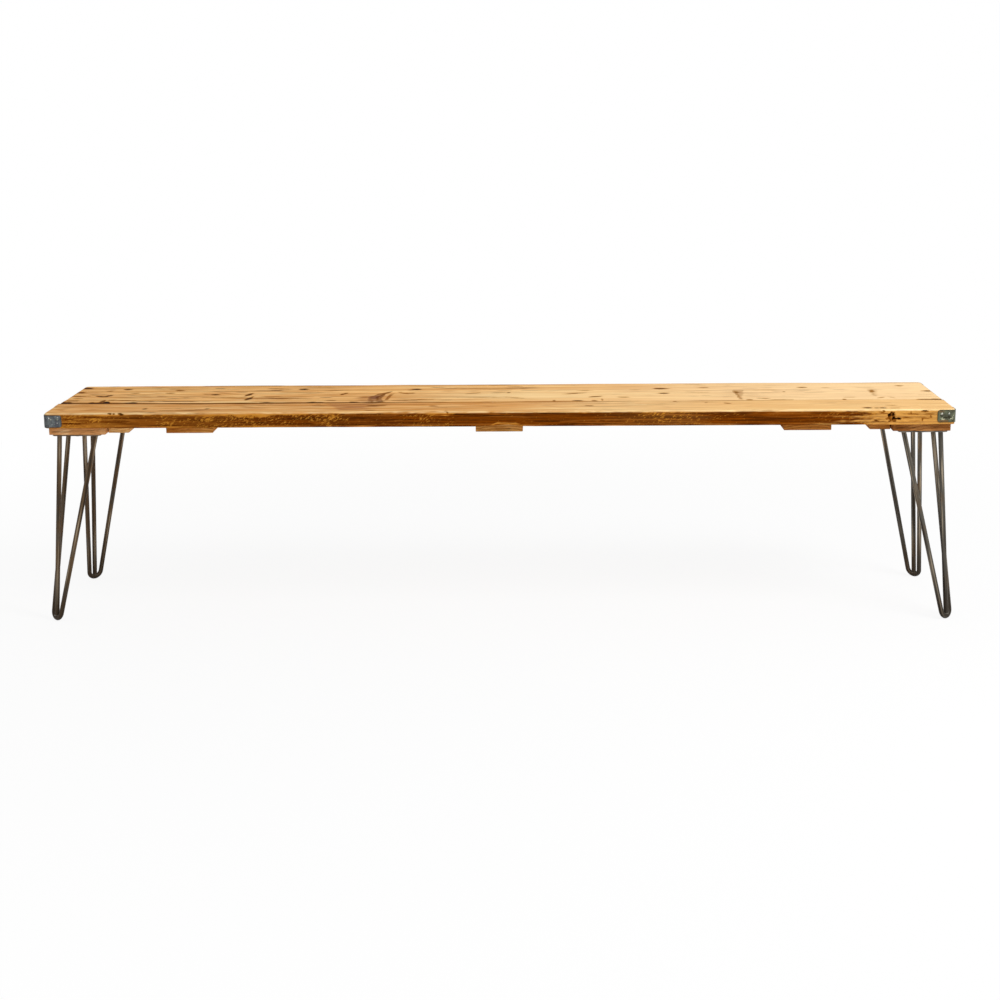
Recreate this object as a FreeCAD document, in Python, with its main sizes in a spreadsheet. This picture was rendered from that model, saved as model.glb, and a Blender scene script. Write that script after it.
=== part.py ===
"""Plank bench on three-rod hairpin legs.

Two old boards lie side by side on cross battens. A block under each end carries two
welded hairpin legs, and a folded iron guards each outer corner of the seat.
Millimetres, +X along the seat, -Y towards the front, +Z up, origin on the floor under the middle.
"""
import FreeCAD, Part
import math
import os
import re
import Sketcher
from FreeCAD import Placement, Rotation, Vector

SIZES = (
    # Seat boards
    ("board_length", 1880.0),
    ("board_thickness", 32.0),
    ("front_board_width", 115.0),
    ("back_board_width", 226.0),
    ("board_joint_gap", 1.0),
    ("back_left_setback", 3.0),
    ("back_right_setback", 2.0),
    ("top_arris_radius", 3.0),
    ("lower_arris_radius", 1.5),
    ("wane_length", 60.0),
    ("wane_depth", 6.0),
    ("wane_shift", 17.0),
    # Cross battens and end blocks under the boards
    ("batten_thickness", 15.0),
    ("batten_width", 98.0),
    ("batten_setback", 22.0),
    ("batten_bay", 79.5),
    ("middle_batten_shift", 4.0),
    ("inner_batten_width", 43.0),
    ("inner_batten_gap", 1.5),
    ("inner_batten_setback", 28.0),
    ("end_block_thickness", 15.0),
    ("end_block_width", 118.0),
    ("end_block_inset", 7.0),
    ("end_block_setback", 8.0),
    ("batten_arris_radius", 1.0),
    # Hairpin legs
    ("leg_height", 402.0),
    ("leg_inset_along", 22.0),
    ("leg_inset_across", 33.0),
    ("leg_splay", 25.0),
    ("arm_length", 76.0),
    ("rod_diameter", 10.0),
    ("bend_radius", 15.0),
    ("plate_thickness", 5.0),
    ("plate_margin", 13.0),
    ("plate_corner_radius", 8.0),
    ("weld_gap", 0.15),
    # Corner irons and their nails
    ("iron_thickness", 1.5),
    ("iron_arm_length", 37.0),
    ("iron_height", 26.0),
    ("iron_bend_radius", 9.0),
    ("iron_bend_clearance", 0.4),
    ("iron_end_radius", 6.0),
    ("left_iron_drop", 4.0),
    ("right_iron_drop", 1.5),
    ("nail_head_diameter", 6.0),
    ("nail_head_height", 1.2),
    ("nail_side", 2.4),
    ("nail_length", 22.0),
    ("nail_end_margin", 8.5),
    ("nail_spacing", 14.5),
    ("face_nail_drop", 8.5),
    ("end_nail_drop", 17.5),
    ("nail_clearance", 0.1),
    # Screws from below
    ("plate_screw_head_diameter", 10.0),
    ("plate_screw_head_height", 3.0),
    ("plate_screw_diameter", 5.0),
    ("plate_screw_length", 40.0),
    ("batten_screw_head_diameter", 9.0),
    ("batten_screw_diameter", 4.5),
    ("batten_screw_length", 40.0),
    ("screw_clearance", 0.2),
    ("screw_edge_inset", 45.0),
    ("screw_joint_inset", 28.0),
    ("screw_stagger", 24.0),
    ("block_screw_offset", 30.0),
)

doc = FreeCAD.newDocument("PlankBench")
sheet = doc.addObject("Spreadsheet::Sheet", "Sizes")
for row, (alias, value) in enumerate(SIZES, start=1):
    sheet.set(f"A{row}", alias)
    sheet.set(f"B{row}", str(value))
    sheet.setAlias(f"B{row}", alias)
doc.recompute()


def named(expression):
    """Writes out the sheet's name before each alias of an expression."""
    return re.sub("[a-z_]+", lambda found: SHEET_NAMES.get(found.group(), found.group()), expression)


def number(expression):
    """The value that an expression of aliases has now."""
    return float(sheet.evalExpression(named(expression)))


SHEET_NAMES = {alias: f"Sizes.{alias}" for alias, value in SIZES}

# Places that several pieces share, as expressions of the sheet
HALF_LENGTH = "( board_length / 2 )"
HALF_DEPTH = "( ( front_board_width + board_joint_gap + back_board_width ) / 2 )"
JOINT_FRONT = f"( front_board_width - {HALF_DEPTH} )"
JOINT_BACK = f"( {JOINT_FRONT} + board_joint_gap )"
BOARD_BOTTOM = "( leg_height + end_block_thickness )"
SEAT_TOP = f"( {BOARD_BOTTOM} + board_thickness )"
PLATE_BOTTOM = "( leg_height - plate_thickness )"
LEG_ALONG = f"( {HALF_LENGTH} - leg_inset_along )"
LEG_ACROSS = f"( {HALF_DEPTH} - leg_inset_across )"
BLOCK_INNER = f"( {HALF_LENGTH} - end_block_inset - end_block_width )"
INNER_BATTEN_FAR = f"( {BLOCK_INNER} - inner_batten_gap )"
OUTER_BATTEN = f"( {INNER_BATTEN_FAR} - inner_batten_width - batten_bay - batten_width / 2 )"

exported = []


def keep(piece, name):
    """Names a finished piece and puts it on the list of nodes."""
    piece.Label = name
    exported.append(piece)
    return piece


def bind(target, prop, expression):
    target.setExpression(prop, named(expression))


def place(piece, along, across, up, rotation=Rotation()):
    """Puts a piece's own origin at a place given by expressions."""
    piece.Placement = Placement(Vector(), rotation)
    bind(piece, "Placement.Base.x", along)
    bind(piece, "Placement.Base.y", across)
    bind(piece, "Placement.Base.z", up)


def new_sketch(body, name, role, offset="0"):
    """A sketch on one of the body's origin planes, moved along that plane's normal."""
    plane = [item for item in body.Origin.OriginFeatures if item.Role == role][0]
    sketch = body.newObject("Sketcher::SketchObject", name)
    sketch.AttachmentSupport = [(plane, "")]
    sketch.MapMode = "FlatFace"
    bind(sketch, "AttachmentOffset.Base.z", offset)
    return sketch


def add_outlines(sketch, outlines):
    """Closed outlines of straight lines, with every corner held at its place by two expressions."""
    lines = []
    constraints = []
    expressions = {}
    for corners in outlines:
        first = len(lines)
        points = [Vector(number(across), number(up), 0) for across, up in corners]
        for index, (across, up) in enumerate(corners):
            following = (index + 1) % len(corners)
            lines.append(Part.LineSegment(points[index], points[following]))
            constraints.append(Sketcher.Constraint("Coincident", first + index, 2, first + following, 1))
            for kind, expression, axis in (("DistanceX", across, -2), ("DistanceY", up, -1)):
                if expression == "0":
                    constraints.append(Sketcher.Constraint("PointOnObject", first + index, 1, axis))
                    continue
                value = number(expression)
                expressions[len(constraints)] = expression
                constraints.append(Sketcher.Constraint(kind, -1, 1, first + index, 1, value))
    sketch.addGeometry(lines)
    sketch.addConstraint(constraints)
    for index, expression in expressions.items():
        bind(sketch, f"Constraints[{index}]", expression)


def squares(centres, side):
    """Equal squares, each set level round its centre."""
    half = f"( {side} ) / 2"
    return [((f"{across} - {half}", f"{up} - {half}"), (f"{across} + {half}", f"{up} - {half}"),
             (f"{across} + {half}", f"{up} + {half}"), (f"{across} - {half}", f"{up} + {half}"))
            for across, up in centres]


def octagons(centres, diameter):
    """Equal eight-sided outlines, the plain form of the many small screws and their holes."""
    turns = [math.radians(22.5 + 45 * step) for step in range(8)]
    return [[(f"{across} + ( {diameter} ) / 2 * {math.cos(angle):.6f}",
              f"{up} + ( {diameter} ) / 2 * {math.sin(angle):.6f}") for angle in turns]
            for across, up in centres]


def add_circle(sketch, diameter):
    """A circle round the sketch's origin."""
    radius = number(diameter) / 2
    circle = sketch.addGeometry(Part.Circle(Vector(0, 0, 0), Vector(0, 0, 1), radius))
    sketch.addConstraint(Sketcher.Constraint("Coincident", circle, 3, -1, 1))
    index = sketch.addConstraint(Sketcher.Constraint("Diameter", circle, 2 * radius))
    bind(sketch, f"Constraints[{index}]", diameter)


def pad(body, sketch, length):
    feature = body.newObject("PartDesign::Pad", f"{sketch.Name}_pad")
    feature.Profile = sketch
    bind(feature, "Length", length)
    doc.recompute()
    return feature


def drill(body, name, role, offset, centres, size, depth, towards_normal, outline=octagons):
    """Straight holes from one plane into the body, checked to take material away."""
    before = body.Shape.Volume
    sketch = new_sketch(body, name, role, offset)
    add_outlines(sketch, outline(centres, size))
    feature = body.newObject("PartDesign::Pocket", f"{name}_holes")
    feature.Profile = sketch
    feature.Reversed = towards_normal
    bind(feature, "Length", depth)
    doc.recompute()
    if body.Shape.Volume >= before:
        raise RuntimeError(f"{name} cuts nothing")
    return feature


def edges_where(shape, test):
    """Names of the edges whose middle point and direction pass a test."""
    names = []
    for index, edge in enumerate(shape.Edges, start=1):
        if test(edge):
            names.append(f"Edge{index}")
    return names


def round_edges(body, name, radius, test):
    base = body.Tip
    feature = body.newObject("PartDesign::Fillet", name)
    feature.Base = (base, edges_where(base.Shape, test))
    bind(feature, "Radius", radius)
    doc.recompute()
    return feature


def close(first, second):
    return abs(first - second) < 1e-4


def upright(edge):
    box = edge.BoundBox
    return close(box.XLength, 0) and close(box.YLength, 0)


def level_at(height):
    """A test for edges that lie flat at one height."""
    return lambda edge: close(edge.BoundBox.ZMin, height) and close(edge.BoundBox.ZMax, height)


def less(expression, origin):
    return f"( {expression} ) - ( {origin} )"


# Screw places, in the bench's own frame: plate screws at the middle of each side of the
# triangular plate, batten screws on both sides of the board joint
PLATE_SCREW_STEPS = (
    ("arm_length / 2", "0"),
    ("0", "arm_length / 2"),
    ("arm_length / 2", "arm_length / 2"),
)
BATTENS = (
    ("left_batten", f"( 0 - {OUTER_BATTEN} )"),
    ("middle_batten", "middle_batten_shift"),
    ("right_batten", OUTER_BATTEN),
)
SIDES = (("left", "-1"), ("right", "1"))
CORNERS = (
    ("front_left", "-1", "-1", 0),
    ("front_right", "1", "-1", 90),
    ("back_right", "1", "1", 180),
    ("back_left", "-1", "1", 270),
)


def plate_screw_places(side, face):
    """Plate screws of one corner of the bench."""
    places = []
    for step_along, step_across in PLATE_SCREW_STEPS:
        along = f"{side} * ( {LEG_ALONG} - ( {step_along} ) )"
        across = f"{face} * ( {LEG_ACROSS} - ( {step_across} ) )"
        places.append((along, across))
    return places


def batten_screw_rows(centre):
    """Screws of one wide batten: two in the front board and two in the back board."""
    front = [
        (f"{centre} - screw_stagger", f"screw_edge_inset - {HALF_DEPTH}"),
        (f"{centre} + screw_stagger", f"{JOINT_FRONT} - screw_joint_inset"),
    ]
    back = [
        (f"{centre} - screw_stagger", f"{JOINT_BACK} + screw_joint_inset"),
        (f"{centre} + screw_stagger", f"{HALF_DEPTH} - screw_edge_inset"),
    ]
    return front, back


def inner_batten_centre(side):
    return f"( {side} * ( {INNER_BATTEN_FAR} - inner_batten_width / 2 ) )"


def inner_batten_screw_rows(side):
    """Screws of one narrow batten: one in each board."""
    centre = inner_batten_centre(side)
    front = [(centre, f"screw_edge_inset - {HALF_DEPTH}")]
    back = [(centre, f"{HALF_DEPTH} - screw_edge_inset")]
    return front, back


def block_screw_places(side):
    centre = f"{side} * ( {BLOCK_INNER} + end_block_width / 2 )"
    return [(centre, "0 - block_screw_offset"), (centre, "block_screw_offset")]


front_batten_screws = []
back_batten_screws = []
for name, centre in BATTENS:
    front, back = batten_screw_rows(centre)
    front_batten_screws += front
    back_batten_screws += back
for name, side in SIDES:
    front, back = inner_batten_screw_rows(side)
    front_batten_screws += front
    back_batten_screws += back + block_screw_places(side)


# Corner irons: each wraps one outer corner of the seat. The nails of the long face sit
# higher than those of the end, so that they pass each other inside the board.
def iron_drop(side):
    return "left_iron_drop" if side == "-1" else "right_iron_drop"


def board_end(side, face):
    """Where the end of a board lies, as a length from the middle of the bench."""
    if face == "-1":
        return HALF_LENGTH
    setback = "back_left_setback" if side == "-1" else "back_right_setback"
    return f"( {HALF_LENGTH} - {setback} )"


NAIL_STEPS = ("( iron_arm_length - nail_end_margin )", "( iron_arm_length - nail_end_margin - nail_spacing )")
NAIL_HOLE = "nail_side + 2 * nail_clearance"
NAIL_DEPTH = "nail_length - iron_thickness + nail_clearance"


# Seat boards: sawn planks with worn arrises
def make_board(name, width, front_y, left_end, right_end, outer_face_y):
    """One plank, drawn from its left front lower corner."""
    body = doc.addObject("PartDesign::Body", name)
    length = f"( {left_end} + {right_end} )"
    outline = new_sketch(body, f"{name}_outline", "XY_Plane")
    add_outlines(outline, [(("0", "0"), (length, "0"), (length, width), ("0", width))])
    pad(body, outline, "board_thickness")
    outer = number(outer_face_y)
    outer_corner = lambda edge: upright(edge) and close(edge.BoundBox.YMin, outer)
    round_edges(body, f"{name}_corners", "iron_bend_radius + iron_bend_clearance", outer_corner)
    round_edges(body, f"{name}_top", "top_arris_radius", level_at(number("board_thickness")))
    round_edges(body, f"{name}_lower", "lower_arris_radius", level_at(0))
    place(body, f"0 - {left_end}", front_y, BOARD_BOTTOM)
    return body


def drill_board(body, name, front_y, left_end, right_end, screws, face, outer_face_y):
    """Pilot holes for the screws from below and for the nails of the two corner irons."""
    length = f"( {left_end} + {right_end} )"
    local = lambda places: [(less(x, f"0 - {left_end}"), less(y, front_y)) for x, y in places]
    corner_sides = ("-1", "1")
    plate_screws = [spot for side in corner_sides for spot in plate_screw_places(side, face)]
    plate_hole_depth = "plate_screw_length - plate_thickness - end_block_thickness + screw_clearance"
    drill(body, f"{name}_plate_screws", "XY_Plane", "0", local(plate_screws),
          "plate_screw_diameter + 2 * screw_clearance", plate_hole_depth, True)
    drill(body, f"{name}_batten_screws", "XY_Plane", "0", local(screws),
          "batten_screw_diameter + 2 * screw_clearance",
          "batten_screw_length - batten_thickness + screw_clearance", True)
    face_nails = []
    for side in corner_sides:
        height = f"board_thickness - {iron_drop(side)} - face_nail_drop"
        for step in NAIL_STEPS:
            along = step if side == "-1" else f"{length} - {step}"
            face_nails.append((along, height))
    drill(body, f"{name}_face_nails", "XZ_Plane", f"0 - ( {outer_face_y} )", face_nails,
          NAIL_HOLE, NAIL_DEPTH, face == "1", squares)
    for side, plane_offset in (("-1", "0"), ("1", length)):
        height = f"board_thickness - {iron_drop(side)} - end_nail_drop"
        inward = "1" if face == "-1" else "-1"
        spots = [(f"{outer_face_y} + {inward} * {step}", height) for step in NAIL_STEPS]
        label = "left" if side == "-1" else "right"
        drill(body, f"{name}_{label}_nails", "YZ_Plane", plane_offset, spots,
              NAIL_HOLE, NAIL_DEPTH, side == "-1", squares)


def scoop_wane(body):
    """A hollow at the lower front arris, where the log's round edge was left on the plank."""
    chord = number("wane_length")
    depth = number("wane_depth")
    radius = (chord * chord / 4 + depth * depth) / (2 * depth)
    reach = (radius - depth) / math.sqrt(2)
    scoop = body.newObject("PartDesign::SubtractiveSphere", "front_board_wane")
    scoop.Radius = radius
    scoop.Placement = Placement(Vector(number(f"{HALF_LENGTH} + wane_shift"), -reach, -reach), Rotation())
    doc.recompute()


front_edge = f"( 0 - {HALF_DEPTH} )"
front_board = make_board("front_board", "front_board_width", front_edge, HALF_LENGTH, HALF_LENGTH, "0")
drill_board(front_board, "front_board", front_edge, HALF_LENGTH, HALF_LENGTH, front_batten_screws, "-1", "0")
scoop_wane(front_board)
keep(front_board, "front_board")

back_ends = (board_end("-1", "1"), board_end("1", "1"))
back_board = make_board("back_board", "back_board_width", JOINT_BACK, *back_ends, "back_board_width")
drill_board(back_board, "back_board", JOINT_BACK, *back_ends, back_batten_screws, "1", "back_board_width")
keep(back_board, "back_board")


# Battens and end blocks: sawn strips laid across under both boards
def make_strip(name, start, width, setback, thickness):
    """One strip from front to back, drawn from its left front lower corner."""
    body = doc.addObject("PartDesign::Body", name)
    run = f"2 * ( {HALF_DEPTH} - {setback} )"
    outline = new_sketch(body, f"{name}_outline", "XY_Plane")
    add_outlines(outline, [(("0", "0"), (width, "0"), (width, run), ("0", run))])
    pad(body, outline, thickness)
    round_edges(body, f"{name}_lower", "batten_arris_radius", level_at(0))
    place(body, start, f"{setback} - {HALF_DEPTH}", f"{BOARD_BOTTOM} - {thickness}")
    return body


def drill_strip(body, name, start, setback, places, thickness):
    """Countersunk holes, right through the strip."""
    local = [(less(x, start), less(y, f"{setback} - {HALF_DEPTH}")) for x, y in places]
    drill(body, name, "XY_Plane", "0", local, "batten_screw_diameter + 2 * screw_clearance", thickness, True)
    base = body.Tip
    side = number("batten_screw_diameter + 2 * screw_clearance") * math.sin(math.pi / 8)
    rims = edges_where(base.Shape, lambda edge: level_at(0)(edge) and abs(edge.Length - side) < 0.001)
    countersink = body.newObject("PartDesign::Chamfer", f"{name}_countersink")
    countersink.Base = (base, rims)
    bind(countersink, "Size", "( batten_screw_head_diameter - batten_screw_diameter ) / 2")
    doc.recompute()


for name, centre in BATTENS:
    start = f"{centre} - batten_width / 2"
    strip = make_strip(name, start, "batten_width", "batten_setback", "batten_thickness")
    front, back = batten_screw_rows(centre)
    drill_strip(strip, f"{name}_screws", start, "batten_setback", front + back, "batten_thickness")
    keep(strip, name)

for label, side in SIDES:
    name = f"{label}_inner_batten"
    start = f"{inner_batten_centre(side)} - inner_batten_width / 2"
    strip = make_strip(name, start, "inner_batten_width", "inner_batten_setback", "batten_thickness")
    front, back = inner_batten_screw_rows(side)
    drill_strip(strip, f"{name}_screws", start, "inner_batten_setback", front + back, "batten_thickness")
    keep(strip, name)

for label, side in SIDES:
    name = f"{label}_end_block"
    start = f"{side} * ( {BLOCK_INNER} + end_block_width / 2 ) - end_block_width / 2"
    block = make_strip(name, start, "end_block_width", "end_block_setback", "end_block_thickness")
    drill_strip(block, f"{name}_screws", start, "end_block_setback", block_screw_places(side),
                "end_block_thickness")
    plate_screws = plate_screw_places(side, "-1") + plate_screw_places(side, "1")
    origin_y = f"end_block_setback - {HALF_DEPTH}"
    local = [(less(x, start), less(y, origin_y)) for x, y in plate_screws]
    drill(block, f"{name}_plate_screws", "XY_Plane", "0", local,
          "plate_screw_diameter + 2 * screw_clearance", "end_block_thickness", True)
    keep(block, name)


# Leg plates: flat steel triangles with clipped corners, one rod at each corner
def make_plate(name, side, face, turn):
    """One plate, drawn from its outer corner with its two arms along +X and +Y."""
    body = doc.addObject("PartDesign::Body", name)
    full = "( arm_length + 2 * plate_margin )"
    clip = "( plate_margin * sqrt( 2 ) )"
    outline = new_sketch(body, f"{name}_outline", "XY_Plane")
    add_outlines(outline, [(("0", "0"), (full, "0"), (full, clip), (clip, full), ("0", full))])
    pad(body, outline, "plate_thickness")
    round_edges(body, f"{name}_corners", "plate_corner_radius", upright)
    holes = [(f"plate_margin + {along}", f"plate_margin + {across}") for along, across in PLATE_SCREW_STEPS]
    drill(body, f"{name}_screws", "XY_Plane", "0", holes,
          "plate_screw_diameter + 2 * screw_clearance", "plate_thickness", True)
    place(body, f"{side} * ( {LEG_ALONG} + plate_margin )", f"{face} * ( {LEG_ACROSS} + plate_margin )",
          PLATE_BOTTOM, Rotation(Vector(0, 0, 1), turn))
    return body


# Hairpin rods. In a leg's own frame the corner rod meets the plate at the origin, the two
# arms run along +X and +Y, and the foot lies outwards and below. The bent rod lies in the
# plane through both arm ends and the foot.
rod_radius = number("rod_diameter / 2")
bend_radius = number("bend_radius")
arm = number("arm_length")
splay = number("leg_splay")
foot = Vector(-splay, -splay, rod_radius - number(PLATE_BOTTOM))
arms_middle = Vector(arm / 2, arm / 2, 0)
rise = (arms_middle - foot).Length
across_axis = Vector(1, -1, 0).normalize()
rise_axis = (arms_middle - foot).normalize()
hairpin_frame = Placement(foot, Rotation(across_axis, rise_axis.cross(across_axis), rise_axis, "ZXY"))
corner_frame = Placement(foot, Rotation(Vector(0, 0, 1), -foot))
TRIM = 4 * rod_radius


def leg_frame(side, face, turn):
    """The place of a leg's own frame on the bench."""
    base = Vector(number(f"{side} * {LEG_ALONG}"), number(f"{face} * {LEG_ACROSS}"), number(PLATE_BOTTOM))
    return Placement(base, Rotation(Vector(0, 0, 1), turn))


def trim_at_plate(body, name, frame):
    """Cuts the rod's upper end off level with the underside of the plate."""
    span = 2 * (arm + TRIM)
    block = body.newObject("PartDesign::SubtractiveBox", f"{name}_trim")
    block.Length = span
    block.Width = span
    block.Height = 2 * TRIM
    block.Placement = frame.inverse().multiply(Placement(Vector(-span / 2, -span / 2, 0), Rotation()))
    doc.recompute()


def make_hairpin(name, frame):
    """The bent rod: half of the V is swept from the foot upwards and then mirrored."""
    body = doc.addObject("PartDesign::Body", name)
    path = new_sketch(body, f"{name}_path", "XZ_Plane")
    half_spread = arm / math.sqrt(2)
    to_top = math.hypot(half_spread, rise - bend_radius)
    lean = math.atan2(half_spread, rise - bend_radius) - math.asin(bend_radius / to_top)
    bend_end = Vector(bend_radius * math.cos(lean), bend_radius - bend_radius * math.sin(lean), 0)
    run = math.sqrt(to_top ** 2 - bend_radius ** 2) + TRIM
    top = bend_end + Vector(math.sin(lean), math.cos(lean), 0) * run
    centre = Vector(0, bend_radius, 0)
    bend = Part.Circle(centre, Vector(0, 0, 1), bend_radius)
    path.addGeometry(Part.ArcOfCircle(bend, -math.pi / 2, -lean))
    path.addGeometry(Part.LineSegment(bend_end, top))
    path.addConstraint(Sketcher.Constraint("Coincident", 0, 1, -1, 1))
    path.addConstraint(Sketcher.Constraint("PointOnObject", 0, 3, -2))
    path.addConstraint(Sketcher.Constraint("Tangent", 0, 2, 1, 1))
    radius_index = path.addConstraint(Sketcher.Constraint("Radius", 0, bend_radius))
    bind(path, f"Constraints[{radius_index}]", "bend_radius")
    path.addConstraint(Sketcher.Constraint("DistanceX", -1, 1, 1, 2, top.x))
    path.addConstraint(Sketcher.Constraint("DistanceY", -1, 1, 1, 2, top.y))
    section = new_sketch(body, f"{name}_section", "YZ_Plane")
    add_circle(section, "rod_diameter")
    doc.recompute()
    sweep = body.newObject("PartDesign::AdditivePipe", f"{name}_sweep")
    sweep.Profile = section
    sweep.Spine = (path, ["Edge1", "Edge2"])
    doc.recompute()
    mirror = body.newObject("PartDesign::Mirrored", f"{name}_mirror")
    mirror.Originals = [sweep]
    plane = [item for item in body.Origin.OriginFeatures if item.Role == "YZ_Plane"][0]
    mirror.MirrorPlane = (plane, [""])
    body.Tip = mirror
    doc.recompute()
    trim_at_plate(body, name, hairpin_frame)
    body.Placement = frame.multiply(hairpin_frame)
    return body


def make_corner_rod(name, frame):
    """The straight rod, coped at its lower end to sit in the bend of the hairpin."""
    body = doc.addObject("PartDesign::Body", name)
    section = new_sketch(body, f"{name}_section", "XY_Plane")
    add_circle(section, "rod_diameter")
    pad(body, section, str(foot.Length + TRIM))
    trim_at_plate(body, name, corner_frame)
    cope = body.newObject("PartDesign::SubtractiveTorus", f"{name}_cope")
    bind(cope, "Radius1", "bend_radius")
    bind(cope, "Radius2", "rod_diameter / 2 + weld_gap")
    bend_centre = Placement(Vector(0, 0, bend_radius), Rotation(Vector(1, 0, 0), 90))
    cope.Placement = corner_frame.inverse().multiply(hairpin_frame).multiply(bend_centre)
    doc.recompute()
    body.Placement = frame.multiply(corner_frame)
    return body


for name, side, face, turn in CORNERS:
    frame = leg_frame(side, face, turn)
    keep(make_plate(f"{name}_leg_plate", side, face, turn), f"{name}_leg_plate")
    keep(make_hairpin(f"{name}_hairpin", frame), f"{name}_hairpin")
    keep(make_corner_rod(f"{name}_corner_rod", frame), f"{name}_corner_rod")


# Corner irons, drawn from the corner that their outer faces would meet in
def make_iron(name, side, face, turn):
    """One strip of sheet iron folded round a corner, with its arms along +X and +Y."""
    body = doc.addObject("PartDesign::Body", name)
    reach = "( iron_arm_length + iron_thickness )"
    outline = new_sketch(body, f"{name}_outline", "XY_Plane")
    add_outlines(outline, [(("0", "0"), (reach, "0"), (reach, "iron_thickness"),
                            ("iron_thickness", "iron_thickness"), ("iron_thickness", reach), ("0", reach))])
    pad(body, outline, "iron_height")
    thickness = number("iron_thickness")
    at_corner = lambda place: lambda edge: (upright(edge) and close(edge.BoundBox.XMin, place)
                                            and close(edge.BoundBox.YMin, place))
    round_edges(body, f"{name}_inner_bend", "iron_bend_radius", at_corner(thickness))
    round_edges(body, f"{name}_outer_bend", "iron_bend_radius + iron_thickness", at_corner(0))
    far = number(reach)
    at_free_end = lambda edge: ((close(edge.BoundBox.XMin, far) and close(edge.BoundBox.YLength, thickness))
                                or (close(edge.BoundBox.YMin, far) and close(edge.BoundBox.XLength, thickness)))
    short_level = lambda edge: at_free_end(edge) and close(edge.BoundBox.ZLength, 0)
    round_edges(body, f"{name}_ends", "iron_end_radius", short_level)
    face_on_x = turn in (0, 180)
    drop_x = "face_nail_drop" if face_on_x else "end_nail_drop"
    drop_y = "end_nail_drop" if face_on_x else "face_nail_drop"
    on_x = [(f"iron_thickness + {step}", f"iron_height - {drop_x}") for step in NAIL_STEPS]
    on_y = [(f"iron_thickness + {step}", f"iron_height - {drop_y}") for step in NAIL_STEPS]
    drill(body, f"{name}_nails_x", "XZ_Plane", "0", on_x, NAIL_HOLE, "iron_thickness", False, squares)
    drill(body, f"{name}_nails_y", "YZ_Plane", "0", on_y, NAIL_HOLE, "iron_thickness", True, squares)
    place(body, f"{side} * ( {board_end(side, face)} + iron_thickness )",
          f"{face} * ( {HALF_DEPTH} + iron_thickness )",
          f"{SEAT_TOP} - {iron_drop(side)} - iron_height", Rotation(Vector(0, 0, 1), turn))
    return body


for name, side, face, turn in CORNERS:
    keep(make_iron(f"{name}_iron", side, face, turn), f"{name}_iron")


# Fasteners: one pattern of each kind, repeated where the holes are. Each has its seat at
# its origin and its shank along +Z.
CENTRE = ("0", "0")


def start_fastener(name, shank_outline, shank_size, length):
    body = doc.addObject("PartDesign::Body", name)
    shank = new_sketch(body, f"{name}_shank", "XY_Plane")
    add_outlines(shank, shank_outline([CENTRE], shank_size))
    pad(body, shank, length)
    return body


def add_raised_head(body, name, diameter, height):
    """A head that stands on the seat."""
    head = new_sketch(body, f"{name}_head", "XY_Plane")
    add_outlines(head, octagons([CENTRE], diameter))
    pad(body, head, height).Reversed = True
    doc.recompute()


def add_countersunk_head(body, name, diameter, shank_diameter):
    """A head that narrows from the seat inwards."""
    wide = new_sketch(body, f"{name}_wide", "XY_Plane")
    add_outlines(wide, octagons([CENTRE], diameter))
    narrow = new_sketch(body, f"{name}_narrow", "XY_Plane", f"( {diameter} - {shank_diameter} ) / 2")
    add_outlines(narrow, octagons([CENTRE], shank_diameter))
    doc.recompute()
    cone = body.newObject("PartDesign::AdditiveLoft", f"{name}_cone")
    cone.Profile = wide
    cone.Sections = [narrow]
    cone.Ruled = True
    doc.recompute()


def make_group(name, pattern, places):
    """Copies of one fastener, as one piece of several solids."""
    solids = []
    for spot, direction in places:
        solid = pattern.Shape.copy()
        solid.Placement = Placement(spot, Rotation(Vector(0, 0, 1), direction))
        solids.append(solid)
    group = doc.addObject("Part::Feature", name)
    group.Shape = Part.makeCompound(solids)
    keep(group, name)


plate_screw = start_fastener("plate_screw", octagons, "plate_screw_diameter", "plate_screw_length")
add_raised_head(plate_screw, "plate_screw", "plate_screw_head_diameter", "plate_screw_head_height")
batten_screw = start_fastener("batten_screw", octagons, "batten_screw_diameter", "batten_screw_length")
add_countersunk_head(batten_screw, "batten_screw", "batten_screw_head_diameter", "batten_screw_diameter")
iron_nail = start_fastener("iron_nail", squares, "nail_side", "nail_length")
add_raised_head(iron_nail, "iron_nail", "nail_head_diameter", "nail_head_height")

UP = Vector(0, 0, 1)
plate_spots = []
for name, side, face, turn in CORNERS:
    for along, across in plate_screw_places(side, face):
        plate_spots.append((Vector(number(along), number(across), number(PLATE_BOTTOM)), UP))
make_group("leg_plate_screws", plate_screw, plate_spots)

block_spots = []
for label, side in SIDES:
    block_spots += [(along, across) for along, across in block_screw_places(side)]
batten_spots = []
for along, across in front_batten_screws + back_batten_screws:
    in_block = (along, across) in block_spots
    strip_thickness = "end_block_thickness" if in_block else "batten_thickness"
    height = number(f"{BOARD_BOTTOM} - {strip_thickness}")
    batten_spots.append((Vector(number(along), number(across), height), UP))
make_group("batten_screws", batten_screw, batten_spots)

nail_spots = []
for name, side, face, turn in CORNERS:
    end = number(f"{side} * {board_end(side, face)}")
    outer_face = number(f"{face} * {HALF_DEPTH}")
    sheet_iron = number("iron_thickness")
    side_sign = float(side)
    face_sign = float(face)
    for step in NAIL_STEPS:
        inset = number(step)
        face_height = number(f"{SEAT_TOP} - {iron_drop(side)} - face_nail_drop")
        end_height = number(f"{SEAT_TOP} - {iron_drop(side)} - end_nail_drop")
        on_face = Vector(end - side_sign * inset, outer_face + face_sign * sheet_iron, face_height)
        on_end = Vector(end + side_sign * sheet_iron, outer_face - face_sign * inset, end_height)
        nail_spots.append((on_face, Vector(0, -face_sign, 0)))
        nail_spots.append((on_end, Vector(-side_sign, 0, 0)))
make_group("corner_iron_nails", iron_nail, nail_spots)

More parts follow.
